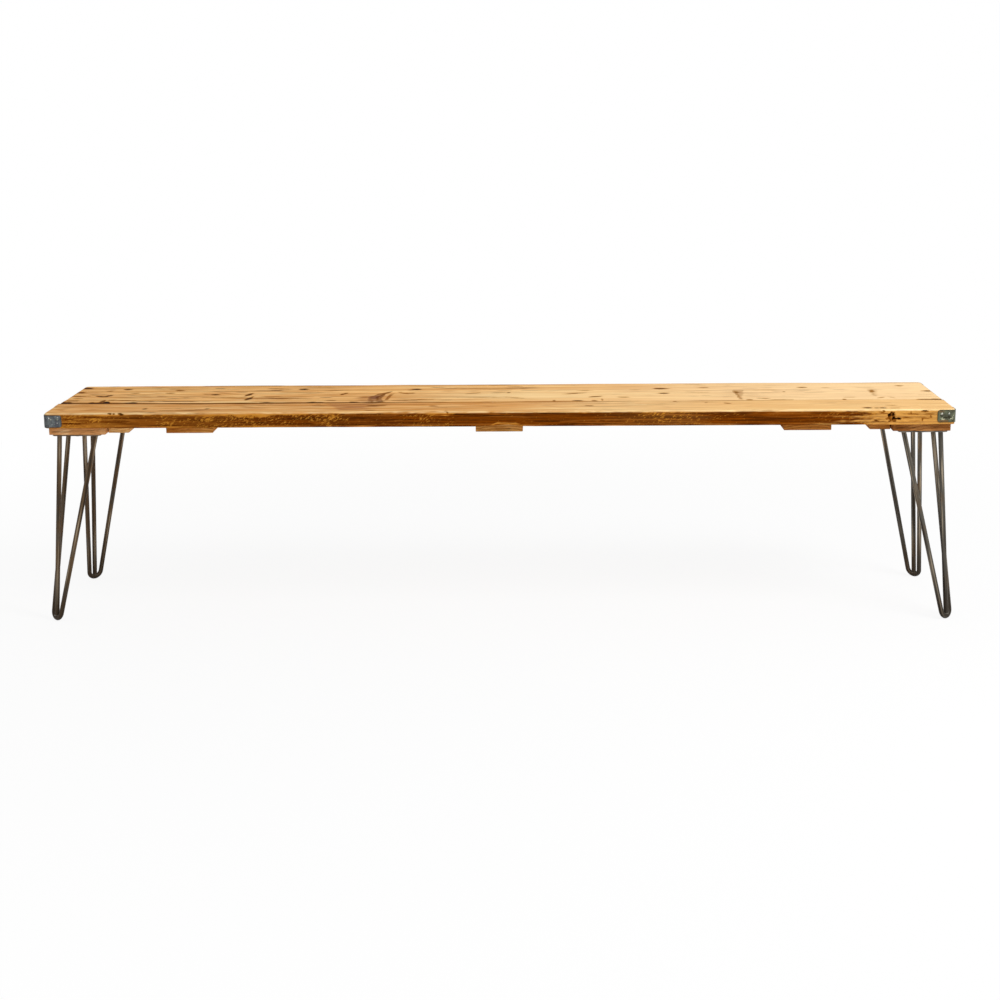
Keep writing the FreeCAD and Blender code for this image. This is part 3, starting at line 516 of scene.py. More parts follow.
WANE_TOP = ((-24, 415), (2, 425.5), (38, 424), (58, 415))
BARE_ARRIS = (
    (-940, 0.6), (-700, 0.5), (-640, 0.35), (-180, 0.3), (-130, 0.6), (-90, 0.3), (200, 0.2), (330, 0.45),
    (620, 0.7),
)
FRONT_PALER = ((-20, 0), (100, 0.14), (280, 0.3), (400, 0.16), (520, 0))
# The face is golden at both ends, in the worn band, on the waney patch and along the lower arris
front_zone = smooth_step(y, FRONT_FACE + 3.0, FRONT_FACE + 0.6)
ragged = 26 * uneven(rest, (60, 30, 3.4), 51) + 22 * uneven(rest, (16, 30, 2.2), 52)
fingers = 52 * uneven(rest, (100, 30, 2.8), 45) + 30 * uneven(rest, (22, 30, 2.2), 46)
fingers += 40 * uneven(rest, (9, 30, 1.8), 47)
right_gold = smooth_step(x + fingers, 712, 782)
left_gold = 0.13 * smooth_step(x + ragged, -420, -620) + 0.36 * smooth_step(x + ragged, -740, -850)
below = SEAT_TOP - points[:, 2]
band = follow(x, ARRIS_BAND)
band *= 1 + 0.55 * uneven(rest, (22, 30, 30), 53) + 0.3 * uneven(rest, (7, 30, 30), 54)
golden_band = 0.95 * smooth_step(below, band + 1.0, band - 1.0)
wedge_top = follow(x, WANE_TOP) + 1.2 * uneven(rest, (9, 30, 30), 55)
wedge = 0.8 * smooth_step(z, wedge_top + 1.2, wedge_top - 0.8)
low_band = 0.85 * smooth_step(points[:, 2] - BOARD_BOTTOM, 4.5, 2.0)
low_band *= np.clip(0.35 + uneven(rest, (40, 30, 30), 56), 0, 1)
mid_gold = follow(x + ragged, FACE_GOLD) * (0.9 + 0.6 * uneven(rest, (40, 30, 5), 80))
gold = np.max([right_gold, left_gold, mid_gold, golden_band, wedge, low_band], axis=0)
fleck = follow(x, FLECKS) * (0.72 + 0.55 * uneven(rest, (26, 30, 7), 57) + 0.25 * smooth_step(z, 424, 440))
sawn = front_zone * smooth_step(below, 2.4, 3.8)
# The worn arris is painted pale, as bare wood and as the highlight along its round
on_arris = smooth_step(y, FRONT_FACE + 9, FRONT_FACE + 5) * smooth_step(below, 5.2, 3.0)
patchy = 0.5 * uneven(rest, (34, 6, 9), 58) + 0.3 * uneven(rest, (11, 3, 9), 59)
worn = on_arris * np.clip(follow(x, BARE_ARRIS) + patchy, 0, 0.9)
worn = np.maximum(worn, follow(x, FRONT_PALER) * (1 + 0.5 * uneven(rest, (240, 14, 9), 81)) * on_top)
ripple = 7 * uneven(rest, (40, 7, 9), 60)
stain = smooth_step(x + 0.4 * (y + 75) + ripple, -366, -354) * smooth_step(x + ripple, -258, -286)
stain *= 0.7 * smooth_step(y, -156, -140) * on_top * np.clip(0.8 + 0.5 * uneven(rest, (60, 8, 9), 78), 0, 1)
raw = 0.75 * (np.abs(x) > BOARD_END - 0.6) + 0.5 * (z < BOARD_BOTTOM + 0.01)
front_pine = waxed_redwood("brushed_waxed_redwood_front", "#dc9f5c", "#ecc386", (-112, 330), 4.2)
marks = {"crack": crack, "sawn": sawn, "gold": gold, "fleck": fleck, "worn": worn, "stain": stain, "raw": raw}
front_board = build("front_plank", points, faces, front_pine, marks)
fit(front_board, "seat_wood", "front_board")

# Back board: the wide plank with the knots, long checks and the splintered edge along the joint.
# Its ends were sawn a little shorter, and its back corners are rounded by wear.
JOINT_BACK = -55.0
BACK_LEFT = -937.0
BACK_RIGHT = 938.0
# Dents and checks on the top of the back plank
BACK_CHECKS = (
    ((-258, -46), (-246, -46), 5.0, 0.8, 0.75), ((-300, 8), (-284, 8), 5.0, 0.5, 0.4),
    ((-214, 62), (-190, 64), 5.0, 0.5, 0.42), ((-936, 150), (-918, 137), 9.0, 1.6, 0.6),
    ((-870, 103), (-861, 103), 5.5, 0.8, 0.5), ((-836, 125), (-825, 124), 6.5, 1.0, 0.8),
    ((-719, 113), (-705, 108), 7.0, 0.8, 0.6), ((-734, 72), (-719, 72), 6.0, 0.8, 0.65),
    ((-808, 74), (-796, 74), 5.5, 0.6, 0.5), ((-938, 88), (-921, 85), 7.5, 2.4, 0.7),
    ((-937, 36), (-897, 40), 5.0, 2.0, 0.6), ((-881, 44), (-862, 29), 6.0, 1.8, 0.85),
    ((-862, 29), (-850, 51), 6.0, 1.8, 0.85), ((-924, 10), (-902, 9), 4.8, 1.0, 0.55),
    ((-937, -20), (-905, -19), 5.0, 2.0, 0.65), ((-839, -14), (-829, -14), 5.5, 0.8, 0.55),
    ((-853, -46), (-850, -14), 5.0, 1.4, 0.7), ((-832, -12), (-745, -30), 4.2, 1.4, 0.6),
    ((-786, -23), (-627, -32), 4.6, 1.2, 0.65), ((-631, 51), (-613, 51), 6.5, 1.0, 0.8),
    ((-648, 58), (-633, 52), 4.0, 0.8, 0.4), ((-650, 19), (-530, 15), 4.2, 0.6, 0.5),
    ((-552, 34), (-543, 63), 6.0, 1.0, 0.75), ((-543, -16), (-536, 20), 6.0, 1.0, 0.75),
    ((-526, 1), (-399, -9), 4.2, 0.6, 0.55), ((-520, 26), (-470, 25), 4.0, 0.6, 0.45),
    ((-518, 130), (-465, 113), 4.0, 0.5, 0.5), ((-487, 72), (-397, 74), 3.6, 0.5, 0.4),
    ((-442, 112), (-430, 112), 8.0, 1.6, 0.92), ((-372, -28), (-348, -29), 4.6, 0.6, 0.55),
    ((-344, 43), (-336, 64), 5.5, 1.0, 0.65), ((-393, 89), (-334, 101), 3.6, 0.5, 0.4),
    ((-191, 109), (-179, 108), 8.0, 1.5, 0.9), ((-202, 100), (-191, 95), 4.5, 0.6, 0.5),
    ((-223, 73), (-213, 72), 4.6, 0.6, 0.5), ((-216, 53), (-182, 52), 4.6, 0.6, 0.55),
    ((-229, -32), (-133, -17), 4.2, 0.6, 0.55), ((-67, 49), (-41, 58), 5.0, 0.7, 0.55),
    ((20, 56), (21, 56), 5.5, 0.8, 0.75), ((-16, 62), (16, 61), 3.6, 0.5, 0.4),
    ((17, 3), (52, -12), 4.0, 0.6, 0.45), ((-83, -1), (15, -1), 3.8, 0.5, 0.4),
    ((-85, 113), (51, 104), 3.8, 0.4, 0.42), ((137, 35), (186, 51), 5.0, 0.7, 0.6),
    ((197, -3), (222, 7), 5.5, 0.8, 0.65), ((160, -46), (179, -47), 5.5, 1.0, 0.78),
    ((200, -44), (208, -50), 4.5, 0.8, 0.6), ((221, -25), (222, -48), 2.6, 0.6, 0.4),
    ((258, -5), (280, -9), 5.5, 0.6, 0.48), ((344, 102), (366, 102), 9.0, 1.2, 0.6),
    ((351, 40), (364, 40), 7.5, 1.6, 0.72), ((118, -45), (120, -45), 5.5, 0.8, 0.65),
    ((172, 81), (202, 80), 4.0, 0.5, 0.42), ((287, 89), (307, 89), 3.4, 0.4, 0.32),
    ((441, 111), (459, 110), 5.0, 0.5, 0.42), ((529, -48), (538, -46), 6.0, 0.9, 0.5),
    ((549, -27), (579, -35), 4.4, 0.6, 0.5), ((660, 106), (672, 106), 7.0, 1.0, 0.6),
    ((619, 53), (620, 53), 5.0, 0.6, 0.5), ((415, 45), (461, 43), 3.6, 0.4, 0.34),
    ((538, 77), (621, 74), 3.4, 0.4, 0.42), ((581, -47), (625, -50), 4.0, 0.5, 0.4),
    ((733, -23), (764, -24), 4.0, 0.4, 0.38), ((731, -49), (734, -49), 5.5, 0.6, 0.6),
    ((806, -37), (821, -25), 4.0, 0.5, 0.4), ((831, -19), (842, -38), 4.0, 0.5, 0.34),
    ((873, 121), (891, 121), 5.0, 0.5, 0.52), ((923, 54), (938, 53), 6.5, 1.6, 0.8),
    ((705, 100), (727, 99), 3.6, 0.4, 0.34),
)
SPIKE_LINES = np.arange(-300, -212, 2.4)
WEDGE_LINES = np.arange(504, 542, 2.4)
xs = np.concatenate([grid_lines(BACK_LEFT, BACK_RIGHT, 4.6), SPIKE_LINES, WEDGE_LINES])
xs = mark_lines(np.sort(xs), BACK_CHECKS)
ys = grid_lines(JOINT_BACK, BACK_FACE, 3.0)
zs = grid_lines(BOARD_BOTTOM, SEAT_TOP, 5.0)
points, faces = slab(xs, ys, zs, 8)
rest = points.copy()
x, y, z = rest.T
line_x = np.stack([x, np.zeros(len(x)), np.zeros(len(x))], 1)
corners = {(-1, 1): CORNER_RADIUS, (1, 1): CORNER_RADIUS, (-1, -1): JOINT_RADIUS, (1, -1): JOINT_RADIUS}
by_joint = y < JOINT_BACK + 40
top_wear = np.where(by_joint, 2.0, np.clip(3.2 + 1.6 * uneven(line_x, (110, 1, 1), 61), 1.5, 6))
points = soften(points, (BACK_LEFT, JOINT_BACK, BOARD_BOTTOM), (BACK_RIGHT, BACK_FACE, SEAT_TOP), corners,
                top_wear, 1.6)
on_top = (z > SEAT_TOP - 0.01).astype(float)
points[:, 2] -= on_top * (0.4 + 0.4 * uneven(rest, (180, 34, 1), 62))
edge_shift = joint_edge(x, 1) - JOINT_BACK
points[:, 1] += edge_shift * smooth_step(y, JOINT_BACK + 45, JOINT_BACK)
deep, dark = scratch(rest[:, :2], uneven(rest, (9, 5, 6), 63), BACK_CHECKS)
points[:, 2] -= DENT_SHARE * deep * on_top
crack = dark * on_top

# Splinters lost along the joint: where each starts and ends, how far it reaches back and how deep it is
SPLINTERS = (
    (-941, -914, 24, 0.9), (-877, -848, 20, 1.0), (-846, -834, 30, 0.7), (-802, -774, 25, 0.9),
    (-510, -480, 13, 0.7), (-410, -372, 13, 0.7), (-318, -296, 13, 0.7), (913, 939, 9, 0.7),
)
from_joint = y - JOINT_BACK
for start, end, reach, depth in SPLINTERS:
    along = (2 * x - start - end) / (end - start + 6)
    width = reach * np.sqrt(np.clip(1 - along ** 2, 0, 1)) * (0.95 + 0.35 * uneven(line_x, (9, 1, 1), 64))
    cut = smooth_step(from_joint, width + 1, 0.7 * width - 1) * on_top
    points[:, 2] -= cut * depth
    crack = np.maximum(crack, cut * 0.95)
# Grime and painted shade of the gap along the joint
seam = smooth_step(from_joint, follow(x, JOINT_GRIME_AND_SHADE) + 2.0 * uneven(line_x, (24, 1, 1), 65), 1.5)
crack = np.maximum(crack, seam * follow(x, JOINT_DARK) * (z > GRIME_AND_SHADE_FLOOR))

# A long spike knot that bends back from the joint: a purple heart in brown wood, and a dark line past a pale
# split at its right. Its middle, half width and split are given from the joint to the back.
SPIKE_MIDDLE = ((-55, -264), (-15, -265), (8, -268), (30, -260), (50, -255), (72, -243), (90, -233))
SPIKE_HALF = ((-55, 19), (-35, 16), (-9, 13.5), (10, 15.5), (22, 13), (32, 10), (56, 9), (72, 6), (86, 2))
SPIKE_SPLIT = ((-30, -243), (4, -241), (30, -236), (56, -232), (72, -224))
SPIKE_END = 88.0
lean = x - follow(y, SPIKE_MIDDLE)
from_heart = np.abs(lean + 2.5 * uneven(rest, (9, 18, 9), 66)) / follow(y, SPIKE_HALF)
spike = smooth_step(from_heart, 1.15, 0.85) * smooth_step(y, SPIKE_END, SPIKE_END - 10)
fibres = uneven(np.stack([lean, y, z], 1), (5, 60, 90), 76)
heart = spike * smooth_step(np.hypot((lean + 1) / 13, (y - 6) / 27) + 0.25 * fibres, 1.15, 0.5)
split_line = follow(y, SPIKE_SPLIT) + 3 * uneven(rest, (20, 20, 9), 67)
split_edge = smooth_step(np.abs(x - split_line), 5.5, 2.5) * smooth_step(y, -34, -20) * smooth_step(y, 74, 60)
knot = np.maximum(0.72 * heart, 0.28 * spike)
brown = spike * np.clip(0.26 + 0.34 * fibres + 0.16 * smooth_step(y, 20, 50), 0, 0.6)
crack = np.maximum(crack, np.maximum(0.46 * split_edge * np.clip(0.8 + fibres, 0, 1), brown) * on_top)
# The smaller knots: place, half length, half width, turn in degrees and strength
KNOTS = (
    (355, 102, 14, 8, 0, 0.5), (-926, 144, 16, 12, -35, 0.7), (-868, 121, 16, 5, -15, 0.35),
    (-631, 54, 18, 6, -20, 0.3),
)
for centre_x, centre_y, half_length, half_width, turn, strength in KNOTS:
    cosine, sine = math.cos(math.radians(turn)), math.sin(math.radians(turn))
    dx, dy = x - centre_x, y - centre_y
    away = np.hypot((dx * cosine + dy * sine) / half_length, (dy * cosine - dx * sine) / half_width)
    away += 0.25 * uneven(rest, (7, 7, 7), 68)
    knot = np.maximum(knot, strength * smooth_step(away, 1.1, 0.7))
knot *= on_top
# Two knots that widen from a point to a crown at the back: the point, the crown's left and right end and its
# place, and strength
WEDGE_KNOTS = ((517, -48, 514, 531, 78, 0.74), (807, -14, 808, 824, 80, 0.5))
tint = np.zeros(len(x))
for point_x, point_y, left_x, right_x, crown_y, strength in WEDGE_KNOTS:
    share = np.clip((y - point_y) / (crown_y - point_y), 0, 1)
    ripple = 3 * uneven(rest, (9, 14, 9), 73)
    left = point_x - 2 + (left_x - point_x) * share + ripple
    right = point_x + 2 + (right_x - point_x) * share + ripple
    inside = smooth_step(x, left - 2, left + 2) * smooth_step(x, right + 3, right - 3)
    inside *= smooth_step(y, point_y - 4, point_y + 4) * smooth_step(y, crown_y + 8, crown_y - 2)
    crown = inside * smooth_step(np.abs(y - crown_y + 24 + 9 * uneven(rest, (8, 30, 9), 74)), 21, 12)
    flank = smooth_step(np.abs(x - left), 5.5, 2.5) * smooth_step(y, point_y, point_y + 14)
    flank *= smooth_step(y, crown_y, crown_y - 12)
    arcs = smooth_step(uneven(rest, (7, 24, 90), 77), -0.35, 0.3)
    darkest = np.max([0.3 * inside, crown * (0.35 + 0.75 * arcs), 0.5 * flank], axis=0)
    crack = np.maximum(crack, strength * darkest * on_top)
    tint = np.maximum(tint, 0.15 * strength * inside)
round_spike = np.hypot((lean + 10) / 36, (y + 12) / 56) + 0.2 * uneven(rest, (30, 9, 9), 69)
stain = np.maximum(0.36 * smooth_step(round_spike, 1.05, 0.6), tint) * on_top

# Wear of the top: a pale strip beside the joint, a paler middle, and grime along the back arris
PALE_STRIP = ((-830, 0), (-790, 1), (-540, 1), (-520, 0.3), (-300, 0.2), (100, 0.4))
BACK_PALER = ((-240, 0), (-90, 0.3), (60, 0.5), (180, 0.5), (400, 0.26), (540, 0))
BACK_GRIME = (
    (-680, 0), (-660, 1), (-500, 1), (-480, 0.3), (-420, 0.9), (-330, 0.9), (-300, 0.2), (-140, 0.9),
    (-50, 0.8), (0, 0.2),
)
below = SEAT_TOP - points[:, 2]
on_arris = smooth_step(y, BACK_FACE - 7, BACK_FACE - 2) * smooth_step(below, 4.6, 2.0)
worn = 0.35 * on_arris * np.clip(0.5 + uneven(line_x, (60, 1, 1), 70), 0, 1)
beside_joint = smooth_step(np.abs(from_joint - 16 - 3 * uneven(line_x, (70, 1, 1), 75)), 7, 3)
worn = np.maximum(worn, 0.6 * beside_joint * follow(x, PALE_STRIP) * on_top)
paler = follow(x, BACK_PALER) * smooth_step(np.abs(y - 30), 66, 34)
worn = np.maximum(worn, paler * (1 + 0.5 * uneven(rest, (260, 13, 9), 82)) * on_top)
grimy = follow(x, BACK_GRIME) * (z > SEAT_TOP - 9)
crack = np.maximum(crack, 0.55 * smooth_step(y, BACK_FACE - 16, BACK_FACE - 7) * grimy)
sawn = smooth_step(y, BACK_FACE - 2.4, BACK_FACE - 0.5) * smooth_step(below, 1.4, 3.0)
ragged = 30 * uneven(rest, (60, 30, 4), 71)
gold = np.maximum(0.8 * smooth_step(np.abs(x) + ragged, 660, 800), 0.7 * smooth_step(below, 6, 3))
fleck = 0.55 + 0.45 * uneven(rest, (150, 30, 20), 72)
raw = 0.75 * ((x < BACK_LEFT + 0.6) | (x > BACK_RIGHT - 0.6)) + 0.5 * (z < BOARD_BOTTOM + 0.01)
back_pine = waxed_redwood("brushed_waxed_redwood_back", "#f4bc76", "#fadaa9", (70, 300), 4.6)
marks = {"crack": crack, "sawn": sawn, "gold": gold, "fleck": fleck, "worn": worn, "stain": stain,
         "knot": knot, "raw": raw}
back_board = build("back_plank", points, faces, back_pine, marks)
fit(back_board, "seat_wood", "back_board")

# Cross battens: sawn boards screwed flat under both planks, with their end grain to the front and back.
# Three are wide, and a narrow one lies beside each end block.
BATTEN_BOTTOM = 402.0
BATTEN_STEPS = (0.0, 0.4, 0.9, 1.6, 2.6)
SCREW_LINES = np.array((-6.0, -4.9, -4.0, -2.8, -1.5, 0.0, 1.5, 2.8, 4.0, 4.9, 6.0))
COUNTERSINK_RADIUS = 4.9
COUNTERSINK_DEPTH = 2.4


def strip(across, run, screws, seed):
    """A sawn strip from front to back with worn arrises and a countersink round each screw."""
    low = (across[0], -run, BATTEN_BOTTOM)
    high = (across[1], run, BOARD_BOTTOM)
    xs = grid_lines(low[0], high[0], 4.0)
    ys = grid_lines(low[1], high[1], 4.5)
    xs = np.unique(np.concatenate([xs, *[x + SCREW_LINES for x, y in screws]]).round(3))
    ys = np.unique(np.concatenate([ys, *[y + SCREW_LINES for x, y in screws]]).round(3))
    points, faces = slab(xs, ys, grid_lines(low[2], high[2], 2.0, BATTEN_STEPS))
    rest = points.copy()
    wear = 1.1 + 0.9 * np.clip(uneven(rest, (14, 14, 30), seed), 0, 1)
    wear += 0.4 * uneven(rest, (5, 5, 30), seed + 1)
    corners = {(a, b): 1.5 for a in (-1, 1) for b in (-1, 1)}
    points = soften(points, low, high, corners, 0.6, np.clip(wear, 0.5, 2.4))
    at_end = (np.abs(rest[:, 1]) > run - 0.01).astype(float)
    saw_marks = 0.35 * uneven(rest, (7, 40, 2.2), seed + 2) + 0.35 * uneven(rest, (25, 40, 6), seed + 3)
    points[:, 1] -= np.sign(rest[:, 1]) * at_end * np.clip(saw_marks + 0.35, 0, 1)
    below = rest[:, 2] < BATTEN_BOTTOM + 0.01
    for x, y in screws:
        away = np.hypot(rest[:, 0] - x, rest[:, 1] - y)
        points[:, 2] += np.where(below, np.clip(COUNTERSINK_RADIUS - away, 0, COUNTERSINK_DEPTH), 0)
    return points, faces, rest


# Noise of the sawn wood: its cells across, along and up the strip. The saw scratches are drawn coarser than
# the real ones to show.
SAWN_GRAIN = {"streak": (16, 240, 2.2), "cloud": (60, 200, 40), "scratch": (0.9, 26, 6)}


def sawn_redwood(name, dark, light, pith, ring):
    """Sawn redwood, oiled mid brown: nearly level rings in the end grain, long streaks and saw scratches."""
    material, tree, shader, place = start_finish(name)
    crack = node(tree, "ShaderNodeAttribute", {"attribute_name": "crack"}).outputs["Fac"]
    grain = {}
    for label, (across, along, up) in SAWN_GRAIN.items():
        drawn = node(tree, "ShaderNodeMapping", DRAWN_OUT,
                     {"Vector": place, "Scale": (across * MM, along * MM, up * MM)})
        grain[label] = node(tree, "ShaderNodeTexNoise", {},
                            {"Vector": drawn, "Scale": 1.0, "Detail": 3.0}).outputs["Fac"]
    wood = layered(tree, grain, linear(light), (("cloud", 0.38, 0.64, 1.0, dark),))
    late = late_rings(tree, place, grain["cloud"], (pith[0], 0, pith[1]), (1.0, 0.0, 1.0), 5,
                      ring, 0.2, 0.48, 0.8)
    wood = node(tree, "ShaderNodeMix", COLOUR, {"Factor": late, "A": wood, "B": linear(dark)})
    wood = layered(tree, grain, wood, (("streak", 0.55, 0.72, 0.55, "#5d3312"),))
    wood = node(tree, "ShaderNodeMix", COLOUR, {"Factor": crack, "A": wood, "B": linear("#2f1706")})
    tree.links.new(wood.outputs[2], shader.inputs["Base Color"])
    relief = node(tree, "ShaderNodeMath", TIMES_PLUS, {0: grain["scratch"], 1: 0.8, 2: late})
    bump = node(tree, "ShaderNodeBump", {}, {"Strength": 0.5, "Distance": 0.7 * MM, "Height": relief})
    tree.links.new(bump.outputs[0], shader.inputs["Normal"])
    shader.inputs["Roughness"].default_value = 0.7
    shader.inputs["Specular IOR Level"].default_value = 0.02
    return material


# Dark and light tone of each strip. The left strips and the middle batten are painted lighter and the right
# end block darker than their wood, as painted light that makes up for the lamp at the right
TONES = {
    "left_batten": ("#ae6824", "#dd9e52"), "middle_batten": ("#a06424", "#d29a54"),
    "right_batten": ("#8a5018", "#b97a38"), "left_inner_batten": ("#d99c52", "#ffd494"),
    "right_inner_batten": ("#a4682c", "#d09a58"), "left_end_block": ("#d0935a", "#f8cd96"),
    "right_end_block": ("#855024", "#b47c46"),
}
# Half width, half run from front to back, places of the screws, pith and width of the rings
WIDE = (49.0, 149.0, ((-24.0, -126.0), (24.0, -84.0), (-24.0, -27.0), (24.0, 126.0)), (8, 150), 5.6)
NARROW = (21.5, 143.0, ((0.0, -126.0), (0.0, 126.0)), (-20, 640), 5.0)
# Name, middle, make and seed of each batten
BATTENS = (
    ("left_batten", -642.0, WIDE, 700), ("middle_batten", 4.0, WIDE, 710), ("right_batten", 642.0, WIDE, 720),
    ("left_inner_batten", -792.0, NARROW, 800), ("right_inner_batten", 792.0, NARROW, 810),
)
batten_screw_places = []
for name, centre, (half_width, run, steps, pith, ring), seed in BATTENS:
    screws = [(centre + x, y) for x, y in steps]
    batten_screw_places += screws
    points, faces, _ = strip((centre - half_width, centre + half_width), run, screws, seed)
    pine = sawn_redwood(f"sawn_redwood_{name}", *TONES[name], (centre + pith[0], pith[1]), ring)
    batten = build(f"{name}_strip", points, faces, pine)
    fit(batten, "batten_wood", name)

# End blocks: wide sawn boards under the ends of the seat, screwed on from below. The leg plates are
# screwed to them, and a shallow split runs across the front of each.
END_BLOCKS = (("left_end_block", -874.0, 900), ("right_end_block", 874.0, 910))
HALF_BLOCK = 59.0
BLOCK_RUN = 163.0
BLOCK_SCREWS = ((0.0, -30.0), (0.0, 30.0))
BLOCK_PITH = (45, 120)
BLOCK_RING = 6.4
SPLIT_HEIGHT = 409.5
SPLIT_HALF = 1.3
SPLIT_DEPTH = 1.2
for name, centre, seed in END_BLOCKS:
    screws = [(centre + x, y) for x, y in BLOCK_SCREWS]
    batten_screw_places += screws
    points, faces, rest = strip((centre - HALF_BLOCK, centre + HALF_BLOCK), BLOCK_RUN, screws, seed)
    from_middle = rest[:, 0] - centre
    split = np.clip(1 - np.abs(rest[:, 2] - SPLIT_HEIGHT - 0.02 * from_middle) / SPLIT_HALF, 0, 1)
    split *= (rest[:, 1] < 0.01 - BLOCK_RUN) * smooth_step(np.abs(from_middle + 10), 48, 40)
    points[:, 1] += split * SPLIT_DEPTH
    pith = (centre + BLOCK_PITH[0], BLOCK_PITH[1])
    pine = sawn_redwood(f"sawn_redwood_{name}", *TONES[name], pith, BLOCK_RING)
    block = build(f"{name}_board", points, faces, pine, {"crack": 0.7 * split})
    fit(block, "block_wood", name)


# Batten screws: countersunk cross-head wood screws of zinc-plated steel, driven from below through battens
# and blocks into the planks, their heads flush.
def bright_zinc(name, tint, dull):
    """Zinc plate: a thin bright grey metal skin, cloudy and a little rough from handling."""
    material, tree, shader, place = start_finish(name)
    cloud = node(tree, "ShaderNodeTexNoise", {}, {"Vector": place, "Scale": 1 / (2.5 * MM), "Detail": 3.0})
    colour = node(tree, "ShaderNodeMix", COLOUR, {"Factor": cloud, "A": linear(dull), "B": linear(tint)})
    tree.links.new(colour.outputs[2], shader.inputs["Base Color"])
    rough = node(tree, "ShaderNodeMapRange", {}, {"Value": cloud, "To Min": 0.28, "To Max": 0.5})
    tree.links.new(rough.outputs[0], shader.inputs["Roughness"])
    shader.inputs["Metallic"].default_value = 1.0
    return material


def start_tree(name, sizes):
    """A node tree with a geometry input, named sizes and a finish; gives the tree and its input node."""
    tree = bpy.data.node_groups.new(name, "GeometryNodeTree")
    tree.interface.new_socket("Places", in_out="INPUT", socket_type="NodeSocketGeometry")
    for label in sizes:
        tree.interface.new_socket(label, in_out="INPUT", socket_type="NodeSocketFloat")
    tree.interface.new_socket("Seed", in_out="INPUT", socket_type="NodeSocketInt")
    tree.interface.new_socket("Finish", in_out="INPUT", socket_type="NodeSocketMaterial")
    tree.interface.new_socket("Pieces", in_out="OUTPUT", socket_type="NodeSocketGeometry")
    return tree, node(tree, "NodeGroupInput").outputs


def end_tree(tree, geometry, finish, smooth=True):
    """Closes a tree: real meshes, shaded and with their finish."""
    solid = node(tree, "GeometryNodeRealizeInstances", {}, {0: geometry})
    shaded = node(tree, "GeometryNodeSetShadeSmooth", {}, {"Geometry": solid, "Shade Smooth": smooth})
    coated = node(tree, "GeometryNodeSetMaterial", {}, {"Geometry": shaded, "Material": finish})
    node(tree, "NodeGroupOutput", {}, {0: coated})


def grow(name, points, edges, tree, values, turns=None):
    """Runs a node tree on points in millimetres and keeps the result as a plain mesh."""
    mesh = bpy.data.meshes.new(name)
    mesh.from_pydata((np.array(points) * MM).tolist(), edges, [])
    if turns is not None:
        turn = mesh.attributes.new("turn", "FLOAT_VECTOR", "POINT")
        turn.data.foreach_set("vector", np.array(turns, np.float32).ravel())
    piece = bpy.data.objects.new(name, mesh)
    bpy.context.scene.collection.objects.link(piece)
    shape = piece.modifiers.new("shape", "NODES")
    shape.node_group = tree
    for item in tree.interface.items_tree:
        if item.name in values:
            shape[item.identifier] = values[item.name]
    grown = bpy.data.meshes.new_from_object(piece.evaluated_get(bpy.context.evaluated_depsgraph_get()))
    piece.modifiers.clear()
    piece.data = grown
    grown.name = name
    return piece


# A low dome with two crossed bars cut out of it
screw_tree, sockets = start_tree("cross_head_screws", ("Head diameter", "Head height", "Recess width"))
diameter, height, recess = (sockets[label] for label in ("Head diameter", "Head height", "Recess width"))
half = node(screw_tree, "ShaderNodeMath", TIMES, {0: diameter, 1: 0.5})
dome_size = node(screw_tree, "ShaderNodeCombineXYZ", {}, {0: half, 1: half, 2: height})
ball = node(screw_tree, "GeometryNodeMeshUVSphere", {}, {"Segments": 28, "Rings": 14, "Radius": 1.0})
head = node(screw_tree, "GeometryNodeTransform", {}, {"Geometry": ball, "Scale": dome_size})
length = node(screw_tree, "ShaderNodeMath", TIMES, {0: diameter, 1: 0.56})
depth = node(screw_tree, "ShaderNodeMath", TIMES, {0: height, 1: 1.1})
lift = node(screw_tree, "ShaderNodeCombineXYZ", {}, {2: height})
for long_way, cross_way in ((length, recess), (recess, length)):
    bar_size = node(screw_tree, "ShaderNodeCombineXYZ", {}, {0: long_way, 1: cross_way, 2: depth})
    bar = node(screw_tree, "GeometryNodeMeshCube", {}, {"Size": bar_size})
    raised = node(screw_tree, "GeometryNodeTransform", {}, {"Geometry": bar, "Translation": lift})
    head = node(screw_tree, "GeometryNodeMeshBoolean", {"operation": "DIFFERENCE"}, {0: head, 1: raised})
spin = node(screw_tree, "FunctionNodeRandomValue", {"data_type": "FLOAT"},
            {"Min": 0.0, "Max": math.tau, "Seed": sockets["Seed"]})
facing = node(screw_tree, "GeometryNodeInputNamedAttribute", {"data_type": "FLOAT_VECTOR"}, {"Name": "turn"})
turned = node(screw_tree, "ShaderNodeCombineXYZ", {}, {2: spin})
aimed = node(screw_tree, "FunctionNodeRotateRotation", {"rotation_space": "LOCAL"}, {0: facing, 1: turned})
heads = node(screw_tree, "GeometryNodeInstanceOnPoints", {},
             {"Points": sockets["Places"], "Instance": head, "Rotation": aimed})
end_tree(screw_tree, heads, sockets["Finish"], False)

DOWNWARDS = (math.pi, 0.0, 0.0)
HEAD_SUNK = 1.4
zinc = bright_zinc("zinc_plated_screw", "#c9c6bd", "#8d8a82")
places = [(x, y, BATTEN_BOTTOM + HEAD_SUNK) for x, y in batten_screw_places]
sizes = {"Head diameter": 9.0 * MM, "Head height": 1.3 * MM, "Recess width": 1.3 * MM, "Seed": 3,
         "Finish": zinc}
batten_screws = grow("batten_screw_heads", places, [], screw_tree, sizes, [DOWNWARDS] * len(places))
fit(batten_screws, "screw_steel", "batten_screws")


